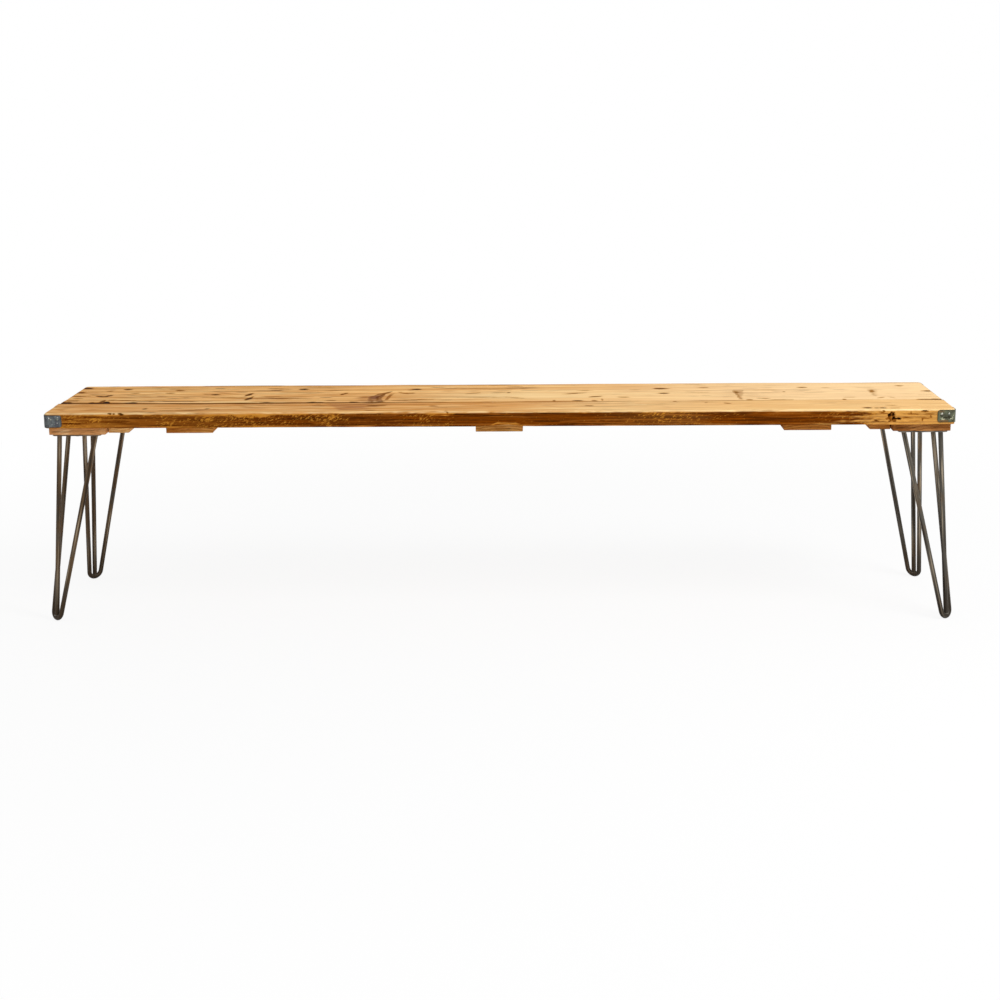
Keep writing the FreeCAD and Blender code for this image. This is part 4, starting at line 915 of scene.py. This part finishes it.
# Corner irons: strips of old painted sheet iron, folded round the seat's corners and nailed on.
# The left pair kept blue-grey paint, the right pair green-grey paint that rusts towards its lower edge.
IRON_THICKNESS = 1.5
IRON_ARM = 37.0
IRON_HEIGHT = 26.0
IRON_BEND = 9.0
IRON_ROUNDING = 6.0
SHEET_STEPS = (0.0, 0.4, 0.9, 1.6, 2.5)
SHEET_LAYERS = np.array((0.0, 0.3, 0.75, 1.2, IRON_THICKNESS))


def old_paint(name, paint, faded, tinge, chip, rust, grime):
    """Old oil paint on sheet iron: a dull coat, faded in clouds, grimy along its rim and in its dents, and
    chipped to pale primer and rust."""
    material, tree, shader, place = start_finish(name)
    marks = ("pale", "dark", "rusty")
    mark = {label: node(tree, "ShaderNodeAttribute", {"attribute_name": label}).outputs["Fac"]
            for label in marks}
    cloud = node(tree, "ShaderNodeTexNoise", {}, {"Vector": place, "Scale": 1 / (9 * MM), "Detail": 4.0})
    specks = node(tree, "ShaderNodeTexNoise", {}, {"Vector": place, "Scale": 1 / (2.4 * MM), "Detail": 3.0})
    faded_share = node(tree, "ShaderNodeMapRange", {}, {"Value": cloud, "From Min": 0.40, "From Max": 0.64})
    coat = node(tree, "ShaderNodeMix", COLOUR,
                {"Factor": faded_share, "A": linear(paint), "B": linear(faded)})
    tinge_share = node(tree, "ShaderNodeMapRange", {},
                       {"Value": cloud, "From Min": 0.50, "From Max": 0.34, "To Max": 0.7})
    coat = node(tree, "ShaderNodeMix", COLOUR, {"Factor": tinge_share, "A": coat, "B": linear(tinge)})
    worn = node(tree, "ShaderNodeMath", TIMES_PLUS, {0: mark["pale"], 1: 0.32, 2: specks})
    chipped = node(tree, "ShaderNodeMapRange", {}, {"Value": worn, "From Min": 0.66, "From Max": 0.73})
    coat = node(tree, "ShaderNodeMix", COLOUR, {"Factor": chipped, "A": coat, "B": linear(chip)})
    coat = node(tree, "ShaderNodeMix", COLOUR, {"Factor": mark["rusty"], "A": coat, "B": linear(rust)})
    # The dark mark is grime, and in one place on the front right iron a nail's painted shadow
    coat = node(tree, "ShaderNodeMix", COLOUR, {"Factor": mark["dark"], "A": coat, "B": linear(grime)})
    tree.links.new(coat.outputs[2], shader.inputs["Base Color"])
    relief = node(tree, "ShaderNodeMath", MINUS, {0: cloud, 1: chipped})
    bump = node(tree, "ShaderNodeBump", {}, {"Strength": 0.5, "Distance": 0.4 * MM, "Height": relief})
    tree.links.new(bump.outputs[0], shader.inputs["Normal"])
    rough = node(tree, "ShaderNodeMapRange", {}, {"Value": specks, "To Min": 0.45, "To Max": 0.7})
    tree.links.new(rough.outputs[0], shader.inputs["Roughness"])
    shader.inputs["Specular IOR Level"].default_value = 0.2
    return material


def close_shell(piece):
    """Turns every face of a closed mesh outwards."""
    skin = bmesh.new()
    skin.from_mesh(piece.data)
    bmesh.ops.recalc_face_normals(skin, faces=skin.faces)
    skin.to_mesh(piece.data)
    skin.free()


BLUE_COATS = ("#565b5c", "#6e7476", "#4a4650", "#e2e2de", "#6d6257", "#25241f")
GREEN_COATS = ("#4e5141", "#62664f", "#423f2c", "#b6b596", "#74532c", "#2a2614")
blue_paint = old_paint("old_blue_grey_paint", *BLUE_COATS)
green_paint = old_paint("old_green_grey_paint", *GREEN_COATS)
# Worn places on the front arms: run from the free end, height, half run, half height and strength
PALE_PATCHES = {
    "front_left_iron": (
        (25.0, 20.0, 1.4, 2.0, 1.0), (21.5, 17.0, 1.4, 1.0, 0.6), (7.0, 21.0, 1.2, 1.8, 1.0),
        (20.4, 5.0, 0.9, 2.4, 0.8), (12.0, 23.4, 1.2, 0.9, 0.6), (26.0, 23.2, 2.6, 0.9, 0.5),
        (4.5, 16.0, 0.8, 1.2, 0.5), (9.0, 10.0, 1.4, 1.0, 0.5),
    ),
    "front_right_iron": (
        (10.6, 5.8, 3.6, 1.9, 0.95), (8.4, 9.0, 2.8, 1.6, 0.42), (23.4, 6.6, 3.6, 1.1, 0.75),
        (30.4, 8.6, 4.0, 2.8, 0.62), (32.6, 13.6, 2.0, 3.0, 0.5),
    ),
}
# Dark places on the front arms, given like the worn places: grime, and on the front right iron the first one,
# just below the nail nearest the free end, is that nail head's painted shadow
DARK_PATCHES = {
    "front_left_iron": (
        (7.5, 15.2, 1.6, 1.4, 0.8), (33.0, 12.0, 4.5, 14.0, 0.35), (14.0, 17.0, 3.5, 4.5, 0.25),
    ),
    "front_right_iron": (
        (8.0, 13.6, 3.2, 2.2, 1.2), (15.8, 9.9, 4.4, 2.2, 1.2), (23.6, 11.0, 3.0, 3.4, 1.2),
        (31.0, 4.4, 2.8, 1.2, 1.0),
    ),
}
RUSTY_PATCHES = {"front_right_iron": ((13.0, 2.6, 11.0, 2.4, 0.8), (5.0, 22.6, 8.0, 2.4, 0.5))}


def patches(table, run, height, ruffle):
    """How much the patches of a table cover each place of a folded sheet, with uneven edges."""
    cover = np.zeros(len(run))
    for centre_run, centre_height, half_run, half_height, strength in table:
        away = np.hypot((run - centre_run) / half_run, (height - centre_height) / half_height) + 0.3 * ruffle
        cover = np.maximum(cover, strength * smooth_step(away, 1.25, 0.75))
    return cover


# Name, side, face, end of the plank, drop below the seat, finish and slot
IRONS = (
    ("front_left_iron", -1, -1, BOARD_END, 4.0, blue_paint, "blue_iron"),
    ("front_right_iron", 1, -1, BOARD_END, 1.5, green_paint, "green_iron"),
    ("back_right_iron", 1, 1, BACK_RIGHT, 1.5, green_paint, "green_iron"),
    ("back_left_iron", -1, 1, -BACK_LEFT, 4.0, blue_paint, "blue_iron"),
)
NAIL_STEPS = (28.5, 14.0)
FACE_NAIL_DROP = 8.5
END_NAIL_DROP = 17.5
QUARTER_TURN = math.pi / 2
nail_places = []
nail_turns = []
straight = IRON_ARM - IRON_BEND
bend_run = IRON_BEND * QUARTER_TURN
length = 2 * straight + bend_run
for seed, (name, side, face, end, drop, paint, slot) in enumerate(IRONS, start=100):
    points, faces = slab(grid_lines(0, length, 1.6, SHEET_STEPS),
                         grid_lines(0, IRON_HEIGHT, 1.4, SHEET_STEPS), SHEET_LAYERS)
    corners = {(a, b): IRON_ROUNDING for a in (-1, 1) for b in (-1, 1)}
    points = soften(points, (0, 0, 0), (length, IRON_HEIGHT, IRON_THICKNESS), corners, 0.35, 0.35)
    run, height, out = points.T
    ruffle = uneven(points, (2.5, 2.5, 400), seed * 10 + 2)
    from_rim = np.min([run, length - run, height, IRON_HEIGHT - height], axis=0)
    grimy_rim = 0.75 * smooth_step(from_rim + 0.5 * ruffle, 2.8, 0.8)
    pale, dark, rusty = (patches(table.get(name, ()), run, height, ruffle)
                         for table in (PALE_PATCHES, DARK_PATCHES, RUSTY_PATCHES))
    marks = {"dark": 0.8 * np.maximum(grimy_rim, dark), "pale": pale, "rusty": rusty}

    # The flat strip is dented a little and folded round the corner
    height = height + 0.35 * uneven(points, (16, 400, 400), seed * 10) * smooth_step(height, 3, 0)
    out = out + 0.22 * np.clip(uneven(points, (8, 8, 400), seed * 10 + 1), -0.4, 1)
    turn = np.clip((run - straight) / bend_run, 0, 1) * QUARTER_TURN
    before = np.minimum(run, straight) - straight
    after = np.maximum(run - straight - bend_run, 0)
    local_x = before + (IRON_BEND + out) * np.sin(turn)
    local_y = after + IRON_BEND - (IRON_BEND + out) * np.cos(turn)
    x = side * (end - IRON_BEND + local_x)
    y = face * (BACK_FACE - local_y)
    z = SEAT_TOP - drop - IRON_HEIGHT + height
    iron = build(f"{name}_sheet", np.stack([x, y, z], 1), faces, paint, marks)
    close_shell(iron)
    fit(iron, slot, name)
    iron_top = SEAT_TOP - drop
    for step in NAIL_STEPS:
        nail_places += [
            (side * (end - step), face * (BACK_FACE + IRON_THICKNESS), iron_top - FACE_NAIL_DROP),
            (side * (end + IRON_THICKNESS), face * (BACK_FACE - step), iron_top - END_NAIL_DROP),
        ]
        nail_turns += [(-face * QUARTER_TURN, 0.0, 0.0), (0.0, side * QUARTER_TURN, 0.0)]

# Corner nails: round-headed iron nails, driven through the irons into the planks, two on each face of an
# iron. The paint of the irons is on them, rubbed through to the steel on some crowns at the right.
nail_tree, sockets = start_tree("round_head_nails", ("Head diameter", "Head height"))
half = node(nail_tree, "ShaderNodeMath", TIMES, {0: sockets["Head diameter"], 1: 0.5})
head_size = node(nail_tree, "ShaderNodeCombineXYZ", {}, {0: half, 1: half, 2: sockets["Head height"]})
ball = node(nail_tree, "GeometryNodeMeshIcoSphere", {}, {"Radius": 1.0, "Subdivisions": 4})
dome = node(nail_tree, "GeometryNodeTransform", {}, {"Geometry": ball, "Scale": head_size})
facing = node(nail_tree, "GeometryNodeInputNamedAttribute", {"data_type": "FLOAT_VECTOR"}, {"Name": "turn"})
width = node(nail_tree, "FunctionNodeRandomValue", {"data_type": "FLOAT"},
             {"Min": 0.88, "Max": 1.1, "Seed": sockets["Seed"]})
heads = node(nail_tree, "GeometryNodeInstanceOnPoints", {},
             {"Points": sockets["Places"], "Instance": dome, "Rotation": facing, "Scale": width})
end_tree(nail_tree, heads, sockets["Finish"])

# Worn nail steel: zinc under rubbed paint, which stays whole at the left and next to the right corner
nail_steel = bright_zinc("worn_nail_steel", "#e4e0d2", "#66665c")
tree = nail_steel.node_tree
place = node(tree, "ShaderNodeTexCoord").outputs["Object"]
along = node(tree, "ShaderNodeSeparateXYZ", {}, {0: place}).outputs["X"]
rubbed = node(tree, "ShaderNodeTexNoise", {}, {"Vector": place, "Scale": 1 / (3.0 * MM)})
to_left = node(tree, "ShaderNodeMapRange", {},
               {"Value": along, "From Min": -0.2, "From Max": 0.2, "To Min": 0.12, "To Max": -0.06})
to_corner = node(tree, "ShaderNodeMapRange", {},
                 {"Value": along, "From Min": 0.914, "From Max": 0.924, "To Max": 0.10})
painted = node(tree, "ShaderNodeMath", PLUS, {0: rubbed, 1: to_left})
painted = node(tree, "ShaderNodeMath", PLUS, {0: painted, 1: to_corner})
painted = node(tree, "ShaderNodeMapRange", {}, {"Value": painted, "From Min": 0.46, "From Max": 0.54})
shader = tree.nodes["Principled BSDF"]
steel = shader.inputs["Base Color"].links[0].from_socket
colour = node(tree, "ShaderNodeMix", COLOUR, {"Factor": painted, "A": steel, "B": linear("#666c62")})
tree.links.new(colour.outputs[2], shader.inputs["Base Color"])
bare = node(tree, "ShaderNodeMath", MINUS, {0: 1.0, 1: painted})
tree.links.new(bare.outputs[0], shader.inputs["Metallic"])
sizes = {"Head diameter": 5.0 * MM, "Head height": 1.2 * MM, "Seed": 5, "Finish": nail_steel}
nails = grow("corner_nail_heads", nail_places, [], nail_tree, sizes, nail_turns)
fit(nails, "nail_steel", "corner_iron_nails")


# Leg plates: flat steel triangles with rounded corners, screwed under the end blocks.
# Plates and rods are hot-rolled steel with its brown-grey mill scale, under clear lacquer.
PLATE_TOP = 402.0
PLATE_BOTTOM = 397.0
# Name, side, face and turn of each leg, and the place of its corner rod's top
LEGS = (
    ("front_left", -1, -1, 0), ("front_right", 1, -1, 90), ("back_right", 1, 1, 180),
    ("back_left", -1, 1, 270),
)
LEG_X = 918.0
LEG_Y = 138.0
# Length of the streaks on rods, size of those on plates, and width of the clouds and the grit, which is drawn
# coarser than it is to show
ROD_STREAK = 160.0
PLATE_STREAK = (30 * MM, 6 * MM, 6 * MM)
SCALE_CLOUD = 60.0
SCALE_GRIT = 3.0


def mill_scale(name, brown, grey, dark, bright, drawn):
    """Hot-rolled steel: dark oxide, brown and grey in long streaks, clear lacquered, with bright and dark
    streaks painted in as the highlights and shaded edges of glossy rods. On drawn rods the streaks follow the
    rod's own length and girth, which its mesh marks."""
    material, tree, shader, place = start_finish(name)
    if drawn:
        along, around = (node(tree, "ShaderNodeAttribute", {"attribute_name": label}).outputs["Fac"]
                         for label in ("along", "around"))
        cosine = node(tree, "ShaderNodeMath", {"operation": "COSINE"}, {0: around})
        sine = node(tree, "ShaderNodeMath", {"operation": "SINE"}, {0: around})
        lengthwise = node(tree, "ShaderNodeMath", TIMES, {0: along, 1: 1 / (ROD_STREAK * MM)})
        streaky = node(tree, "ShaderNodeCombineXYZ", {}, {0: cosine, 1: sine, 2: lengthwise})
    else:
        streaky = node(tree, "ShaderNodeMapping", DRAWN_OUT, {"Vector": place, "Scale": PLATE_STREAK})
    streak = node(tree, "ShaderNodeTexNoise", {}, {"Vector": streaky, "Scale": 1.0, "Detail": 4.0})
    cloud = node(tree, "ShaderNodeTexNoise", {},
                 {"Vector": place, "Scale": 1 / (SCALE_CLOUD * MM), "Detail": 3.0})
    specks = node(tree, "ShaderNodeTexNoise", {},
                  {"Vector": place, "Scale": 1 / (SCALE_GRIT * MM), "Detail": 2.0})
    spot = node(tree, "ShaderNodeSeparateXYZ", {}, {0: place}).outputs

    # Browner at the left and greyer at the right of the bench, in clouds, with dark and bright streaks as
    # painted shade and painted highlights, and painted darker near the floor as its shade
    to_right = node(tree, "ShaderNodeMapRange", {},
                    {"Value": spot["X"], "From Min": -0.9, "From Max": 0.9, "To Min": -0.12, "To Max": 0.12})
    mixed = node(tree, "ShaderNodeMath", PLUS, {0: cloud, 1: to_right})
    grey_share = node(tree, "ShaderNodeMapRange", {}, {"Value": mixed, "From Min": 0.40, "From Max": 0.62})
    oxide = node(tree, "ShaderNodeMix", COLOUR, {"Factor": grey_share, "A": linear(brown), "B": linear(grey)})
    oxide = layered(tree, {"streak": streak, "height": spot["Z"]}, oxide,
                    (("streak", 0.50, 0.36, 0.9, dark), ("streak", 0.53, 0.68, 0.75, bright),
                     ("height", 0.18, 0.0, 0.72, dark)))
    tree.links.new(oxide.outputs[2], shader.inputs["Base Color"])
    rough = node(tree, "ShaderNodeMapRange", {},
                 {"Value": streak, "From Min": 0.3, "From Max": 0.7, "To Min": 0.55, "To Max": 0.38})
    tree.links.new(rough.outputs[0], shader.inputs["Roughness"])
    bump = node(tree, "ShaderNodeBump", {}, {"Strength": 0.25, "Distance": 0.3 * MM, "Height": specks})
    tree.links.new(bump.outputs[0], shader.inputs["Normal"])
    shader.inputs["Metallic"].default_value = 0.1
    shader.inputs["Specular IOR Level"].default_value = 0.15
    return material


def leg_place(points, side, face, turn):
    """Takes places from a leg's own frame, at the top of its corner rod, to the bench."""
    cosine, sine = math.cos(math.radians(turn)), math.sin(math.radians(turn))
    x, y, z = np.array(points, float).T
    return np.stack([side * LEG_X + x * cosine - y * sine, face * LEG_Y + x * sine + y * cosine,
                     PLATE_BOTTOM + z], 1)


def plate_outline(corners, radius):
    """The plate's outline with every corner rounded."""
    outline = []
    for index, corner in enumerate(corners):
        corner = np.array(corner)
        back = np.array(corners[index - 1]) - corner
        ahead = np.array(corners[(index + 1) % len(corners)]) - corner
        back, ahead = back / np.linalg.norm(back), ahead / np.linalg.norm(ahead)
        half_angle = math.acos(np.clip(back @ ahead, -1, 1)) / 2
        middle = (back + ahead) / np.linalg.norm(back + ahead)
        centre = corner + middle * radius / math.sin(half_angle)
        start = corner + back * radius / math.tan(half_angle) - centre
        end = corner + ahead * radius / math.tan(half_angle) - centre
        first = math.atan2(start[1], start[0])
        sweep = (math.atan2(end[1], end[0]) - first + math.pi) % math.tau - math.pi
        outline += [centre + radius * np.array((math.cos(angle), math.sin(angle)))
                    for angle in np.linspace(first, first + sweep, 9)]
    return np.array(outline)


plate_steel = mill_scale("lacquered_mill_scale_plate", "#6e5a46", "#6a6660", "#4a3a2a", "#a8947c", False)
PLATE_SIDE = 102.0
PLATE_CLIP = 18.385
PLATE_MARGIN = 13.0
PLATE_CORNER = 8.0
PLATE_EASING = 0.6
corners = ((0, 0), (PLATE_SIDE, 0), (PLATE_SIDE, PLATE_CLIP), (PLATE_CLIP, PLATE_SIDE), (0, PLATE_SIDE))
outline = plate_outline(corners, PLATE_CORNER) - PLATE_MARGIN
count = len(outline)
lower = np.column_stack([outline, np.zeros(count)])
upper = np.column_stack([outline, np.full(count, PLATE_TOP - PLATE_BOTTOM)])
plate_faces = [list(range(count))[::-1], list(range(count, 2 * count))]
plate_faces += [[step, (step + 1) % count, count + (step + 1) % count, count + step] for step in range(count)]
for name, side, face, turn in LEGS:
    mesh = bpy.data.meshes.new(f"{name}_plate")
    places = leg_place(np.concatenate([lower, upper]), side, face, turn)
    mesh.from_pydata((places * MM).tolist(), [], plate_faces)
    mesh.materials.append(plate_steel)
    plate = bpy.data.objects.new(f"{name}_plate", mesh)
    bpy.context.scene.collection.objects.link(plate)
    rim = plate.modifiers.new("rim", "BEVEL")
    rim.width = PLATE_EASING * MM
    rim.segments = 2
    rim.limit_method = "ANGLE"
    rim.angle_limit = math.radians(50)
    plate.data = bpy.data.meshes.new_from_object(plate.evaluated_get(bpy.context.evaluated_depsgraph_get()))
    plate.modifiers.clear()
    close_shell(plate)
    fit(plate, "leg_steel", f"{name}_leg_plate")

# Hairpin rods: one steel rod bent to a narrow V with a round foot, and a straight third rod that runs
# from the plate's outer corner into that bend. All ends are welded.
ROD_DIAMETER = 10.0
BEND_RADIUS = 15.0
ARM = 76.0
FOOT = np.array((-25.0, -25.0, ROD_DIAMETER / 2 - PLATE_BOTTOM))
INTO_PLATE = 2.0
ROD_SIDES = 32
rod_tree, sockets = start_tree("bent_steel_rod", ("Rod diameter",))
half = node(rod_tree, "ShaderNodeMath", TIMES, {0: sockets["Rod diameter"], 1: 0.5})
line = node(rod_tree, "GeometryNodeMeshToCurve", {}, {0: sockets["Places"]})
run = node(rod_tree, "GeometryNodeSplineParameter").outputs
line = node(rod_tree, "GeometryNodeStoreNamedAttribute", {"data_type": "FLOAT", "domain": "POINT"},
            {"Geometry": line, "Name": "along", "Value": run["Length"]})
ring = node(rod_tree, "GeometryNodeCurvePrimitiveCircle", {}, {"Resolution": ROD_SIDES, "Radius": half})
girth = node(rod_tree, "ShaderNodeMath", TIMES, {0: run["Factor"], 1: math.tau})
ring = node(rod_tree, "GeometryNodeStoreNamedAttribute", {"data_type": "FLOAT", "domain": "POINT"},
            {"Geometry": ring, "Name": "around", "Value": girth})
rod = node(rod_tree, "GeometryNodeCurveToMesh", {}, {"Curve": line, "Profile Curve": ring, "Fill Caps": True})
end_tree(rod_tree, rod, sockets["Finish"])
rod_steel = mill_scale("lacquered_mill_scale_rod", "#5e4a33", "#524e46", "#241a0e", "#b4a48c", True)

# The bent rod's line in its own slanted plane: across the two arms and up from the foot
arms_middle = np.array((ARM / 2, ARM / 2, 0.0))
rise = np.linalg.norm(arms_middle - FOOT)
rise_way = (arms_middle - FOOT) / rise
spread_way = np.array((1.0, -1.0, 0.0)) / math.sqrt(2)
half_spread = ARM / math.sqrt(2)
to_top = math.hypot(half_spread, rise - BEND_RADIUS)
lean = math.atan2(half_spread, rise - BEND_RADIUS) - math.asin(BEND_RADIUS / to_top)
straight_run = math.sqrt(to_top ** 2 - BEND_RADIUS ** 2) + INTO_PLATE
bend = [(BEND_RADIUS * math.cos(angle), BEND_RADIUS + BEND_RADIUS * math.sin(angle))
        for angle in np.linspace(-lean, lean - math.pi, 29)]
bend_end = np.array(bend[0])
arm_way = np.array((math.sin(lean), math.cos(lean)))
arm = [tuple(bend_end + share * straight_run * arm_way) for share in np.linspace(1, 0, 24, endpoint=False)]
hairpin = arm + bend + [(-across, up) for across, up in reversed(arm)]
hairpin = np.array([FOOT + spread_way * across + rise_way * up for across, up in hairpin])

# The third rod runs straight from the bend to the plate's corner
INTO_BEND = 1.5
foot_reach = np.linalg.norm(FOOT)
corner_way = -FOOT / foot_reach
reaches = np.linspace(INTO_BEND, foot_reach + INTO_PLATE, 30)
corner_rod = np.array([FOOT + corner_way * reach for reach in reaches])
sizes = {"Rod diameter": ROD_DIAMETER * MM, "Seed": 0, "Finish": rod_steel}
for name, side, face, turn in LEGS:
    for label, line, solid in (("bent_rod", hairpin, "hairpin"), ("third_rod", corner_rod, "corner_rod")):
        edges = [(step, step + 1) for step in range(len(line) - 1)]
        rod = grow(f"{name}_{label}", leg_place(line, side, face, turn), edges, rod_tree, sizes)
        fit(rod, "leg_steel", f"{name}_{solid}")

# Welds: small beads of bare weld metal that run round the rods' ends under the plates, and round the third
# rod where it ends in the bend.
weld_tree, sockets = start_tree("weld_beads", ("Bead radius", "Bead spacing"))
line = node(weld_tree, "GeometryNodeMeshToCurve", {}, {0: sockets["Places"]})
spaced = node(weld_tree, "GeometryNodeResampleCurve", {"mode": "LENGTH"},
              {"Curve": line, "Length": sockets["Bead spacing"]})
ball = node(weld_tree, "GeometryNodeMeshIcoSphere", {}, {"Radius": sockets["Bead radius"], "Subdivisions": 3})
bead_size = node(weld_tree, "FunctionNodeRandomValue", {"data_type": "FLOAT"},
                 {"Min": 0.8, "Max": 1.15, "Seed": sockets["Seed"]})
beads = node(weld_tree, "GeometryNodeInstanceOnPoints", {},
             {"Points": spaced, "Instance": ball, "Scale": bead_size})
end_tree(weld_tree, beads, sockets["Finish"])
weld_steel = mill_scale("bare_weld_steel", "#6b645a", "#8b8880", "#4c453c", "#d6d2c8", False)
RING_PLACES = 20
UPRIGHT = np.array((0.0, 0.0, 1.0))
WELD_DROP = -0.4
# Place, way and radius of each ring of beads on a leg
WELDS = (
    ((ARM, 0.0, WELD_DROP), UPRIGHT, 5.3), ((0.0, ARM, WELD_DROP), UPRIGHT, 5.3),
    ((0.0, 0.0, WELD_DROP), UPRIGHT, 5.3), (FOOT + corner_way * 5.6, corner_way, 4.6),
)
places, edges = [], []
for centre, way, radius in WELDS:
    first_way = np.cross(way, (0.0, 1.0, 0.3))
    first_way /= np.linalg.norm(first_way)
    second_way = np.cross(way, first_way)
    start = len(places)
    places += [centre + radius * (first_way * math.cos(angle) + second_way * math.sin(angle))
               for angle in np.linspace(0, math.tau, RING_PLACES, endpoint=False)]
    edges += [(start + step, start + (step + 1) % RING_PLACES) for step in range(RING_PLACES)]
for seed, (name, side, face, turn) in enumerate(LEGS, start=20):
    sizes = {"Bead radius": 1.5 * MM, "Bead spacing": 1.7 * MM, "Seed": seed, "Finish": weld_steel}
    weld = grow(f"{name}_welds", leg_place(places, side, face, turn), edges, weld_tree, sizes)
    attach(weld, "root")

# Plate screws: pan-head wood screws of zinc-plated steel, three through each leg plate into its end block.
# Their heads are higher than those of the batten screws.
PLATE_SCREW_STEPS = ((ARM / 2, 0.0, 0.0), (0.0, ARM / 2, 0.0), (ARM / 2, ARM / 2, 0.0))
places = np.concatenate([leg_place(PLATE_SCREW_STEPS, side, face, turn) for name, side, face, turn in LEGS])
sizes = {"Head diameter": 10.0 * MM, "Head height": 3.0 * MM, "Recess width": 1.6 * MM, "Seed": 7,
         "Finish": zinc}
plate_screws = grow("leg_plate_screw_heads", places, [], screw_tree, sizes, [DOWNWARDS] * len(places))
fit(plate_screws, "screw_steel", "leg_plate_screws")

# Studio: a white floor and surround, one large soft lamp from the right, and the camera of the photograph.
# The floor takes the bench's soft shadow near it and is white further out.
FLOOR_REACH = 40.0
SHADOW_NEAR = 0.6
SHADOW_FAR = 2.4
SHADOW_WHITE = 0.88
FLOOR_GREY = (0.86, 0.86, 0.86, 1.0)
WHITE = (1.0, 1.0, 1.0, 1.0)
ROOM_LIGHT = 0.62


def seen_directly(tree):
    """Parts the rays of camera, gloss and glass, which see plain white, from those that light the bench."""
    rays = node(tree, "ShaderNodeLightPath").outputs
    seen = rays["Is Camera Ray"]
    for kind in ("Is Glossy Ray", "Is Transmission Ray"):
        seen = node(tree, "ShaderNodeMath", {"operation": "MAXIMUM"}, {0: seen, 1: rays[kind]})
    return seen


floor_material = bpy.data.materials.new("white_studio_floor")
floor_material.use_nodes = True
tree = floor_material.node_tree
tree.nodes.clear()
place = node(tree, "ShaderNodeTexCoord").outputs["Object"]
away = node(tree, "ShaderNodeVectorMath", {"operation": "LENGTH"}, {0: place}).outputs["Value"]
lit = node(tree, "ShaderNodeMapRange", SMOOTH,
           {"Value": away, "From Min": SHADOW_NEAR, "From Max": SHADOW_FAR,
            "To Min": SHADOW_WHITE, "To Max": 1.0})
share = node(tree, "ShaderNodeMath", TIMES, {0: seen_directly(tree), 1: lit})
matt = node(tree, "ShaderNodeBsdfDiffuse", {}, {"Color": FLOOR_GREY})
glow = node(tree, "ShaderNodeEmission", {}, {"Color": WHITE, "Strength": 1.0})
mixed = node(tree, "ShaderNodeMixShader", {}, {0: share, 1: matt, 2: glow})
node(tree, "ShaderNodeOutputMaterial", {}, {"Surface": mixed})
floor_mesh = bpy.data.meshes.new("studio_floor")
floor_corners = [(a * FLOOR_REACH, b * FLOOR_REACH, 0) for a, b in ((-1, -1), (1, -1), (1, 1), (-1, 1))]
floor_mesh.from_pydata(floor_corners, [], [(0, 1, 2, 3)])
floor_mesh.materials.append(floor_material)
floor = bpy.data.objects.new("studio_floor", floor_mesh)
bpy.context.scene.collection.objects.link(floor)

world = bpy.data.worlds.new("white_studio")
bpy.context.scene.world = world
world.use_nodes = True
tree = world.node_tree
tree.nodes.clear()
strength = node(tree, "ShaderNodeMapRange", {},
                {"Value": seen_directly(tree), "To Min": ROOM_LIGHT, "To Max": 1.0})
sky = node(tree, "ShaderNodeBackground", {}, {"Color": WHITE, "Strength": strength})
node(tree, "ShaderNodeOutputWorld", {}, {"Surface": sky})

LAMP_POWER = 76.0
LAMP_WIDTH = 1.6
LAMP_PLACE = Vector((2.2, -1.7, 2.8))
LAMP_AIM = Vector((0.4, 0.0, 0.4))
lamp = bpy.data.lights.new("soft_lamp", "AREA")
lamp.energy = LAMP_POWER
lamp.shape = "DISK"
lamp.size = LAMP_WIDTH
lamp_holder = bpy.data.objects.new("soft_lamp", lamp)
lamp_holder.location = LAMP_PLACE
lamp_holder.rotation_euler = (LAMP_AIM - LAMP_PLACE).to_track_quat("-Z", "Y").to_euler()
bpy.context.scene.collection.objects.link(lamp_holder)

CAMERA_PLACE = (0.089864, -3.715768, 1.094155)
YAW, PITCH, ROLL = -0.0240, 0.2307, -0.0093
FOCAL_PIXELS, IMAGE_PIXELS, SENSOR = 1748.41, 1000, 36.0
forward = Vector((math.sin(YAW) * math.cos(PITCH), math.cos(YAW) * math.cos(PITCH), -math.sin(PITCH)))
level = Vector((math.cos(YAW), -math.sin(YAW), 0))
upright = level.cross(forward)
right = level * math.cos(ROLL) + upright * math.sin(ROLL)
up = upright * math.cos(ROLL) - level * math.sin(ROLL)
camera = bpy.data.cameras.new("camera")
camera.sensor_width = SENSOR
camera.lens = FOCAL_PIXELS / IMAGE_PIXELS * SENSOR
camera_holder = bpy.data.objects.new("camera", camera)
facing = Matrix((right, up, -forward)).transposed().to_4x4()
camera_holder.matrix_world = Matrix.Translation(CAMERA_PLACE) @ facing
bpy.context.scene.collection.objects.link(camera_holder)
bpy.context.scene.camera = camera_holder
bpy.context.scene.view_settings.view_transform = "Standard"
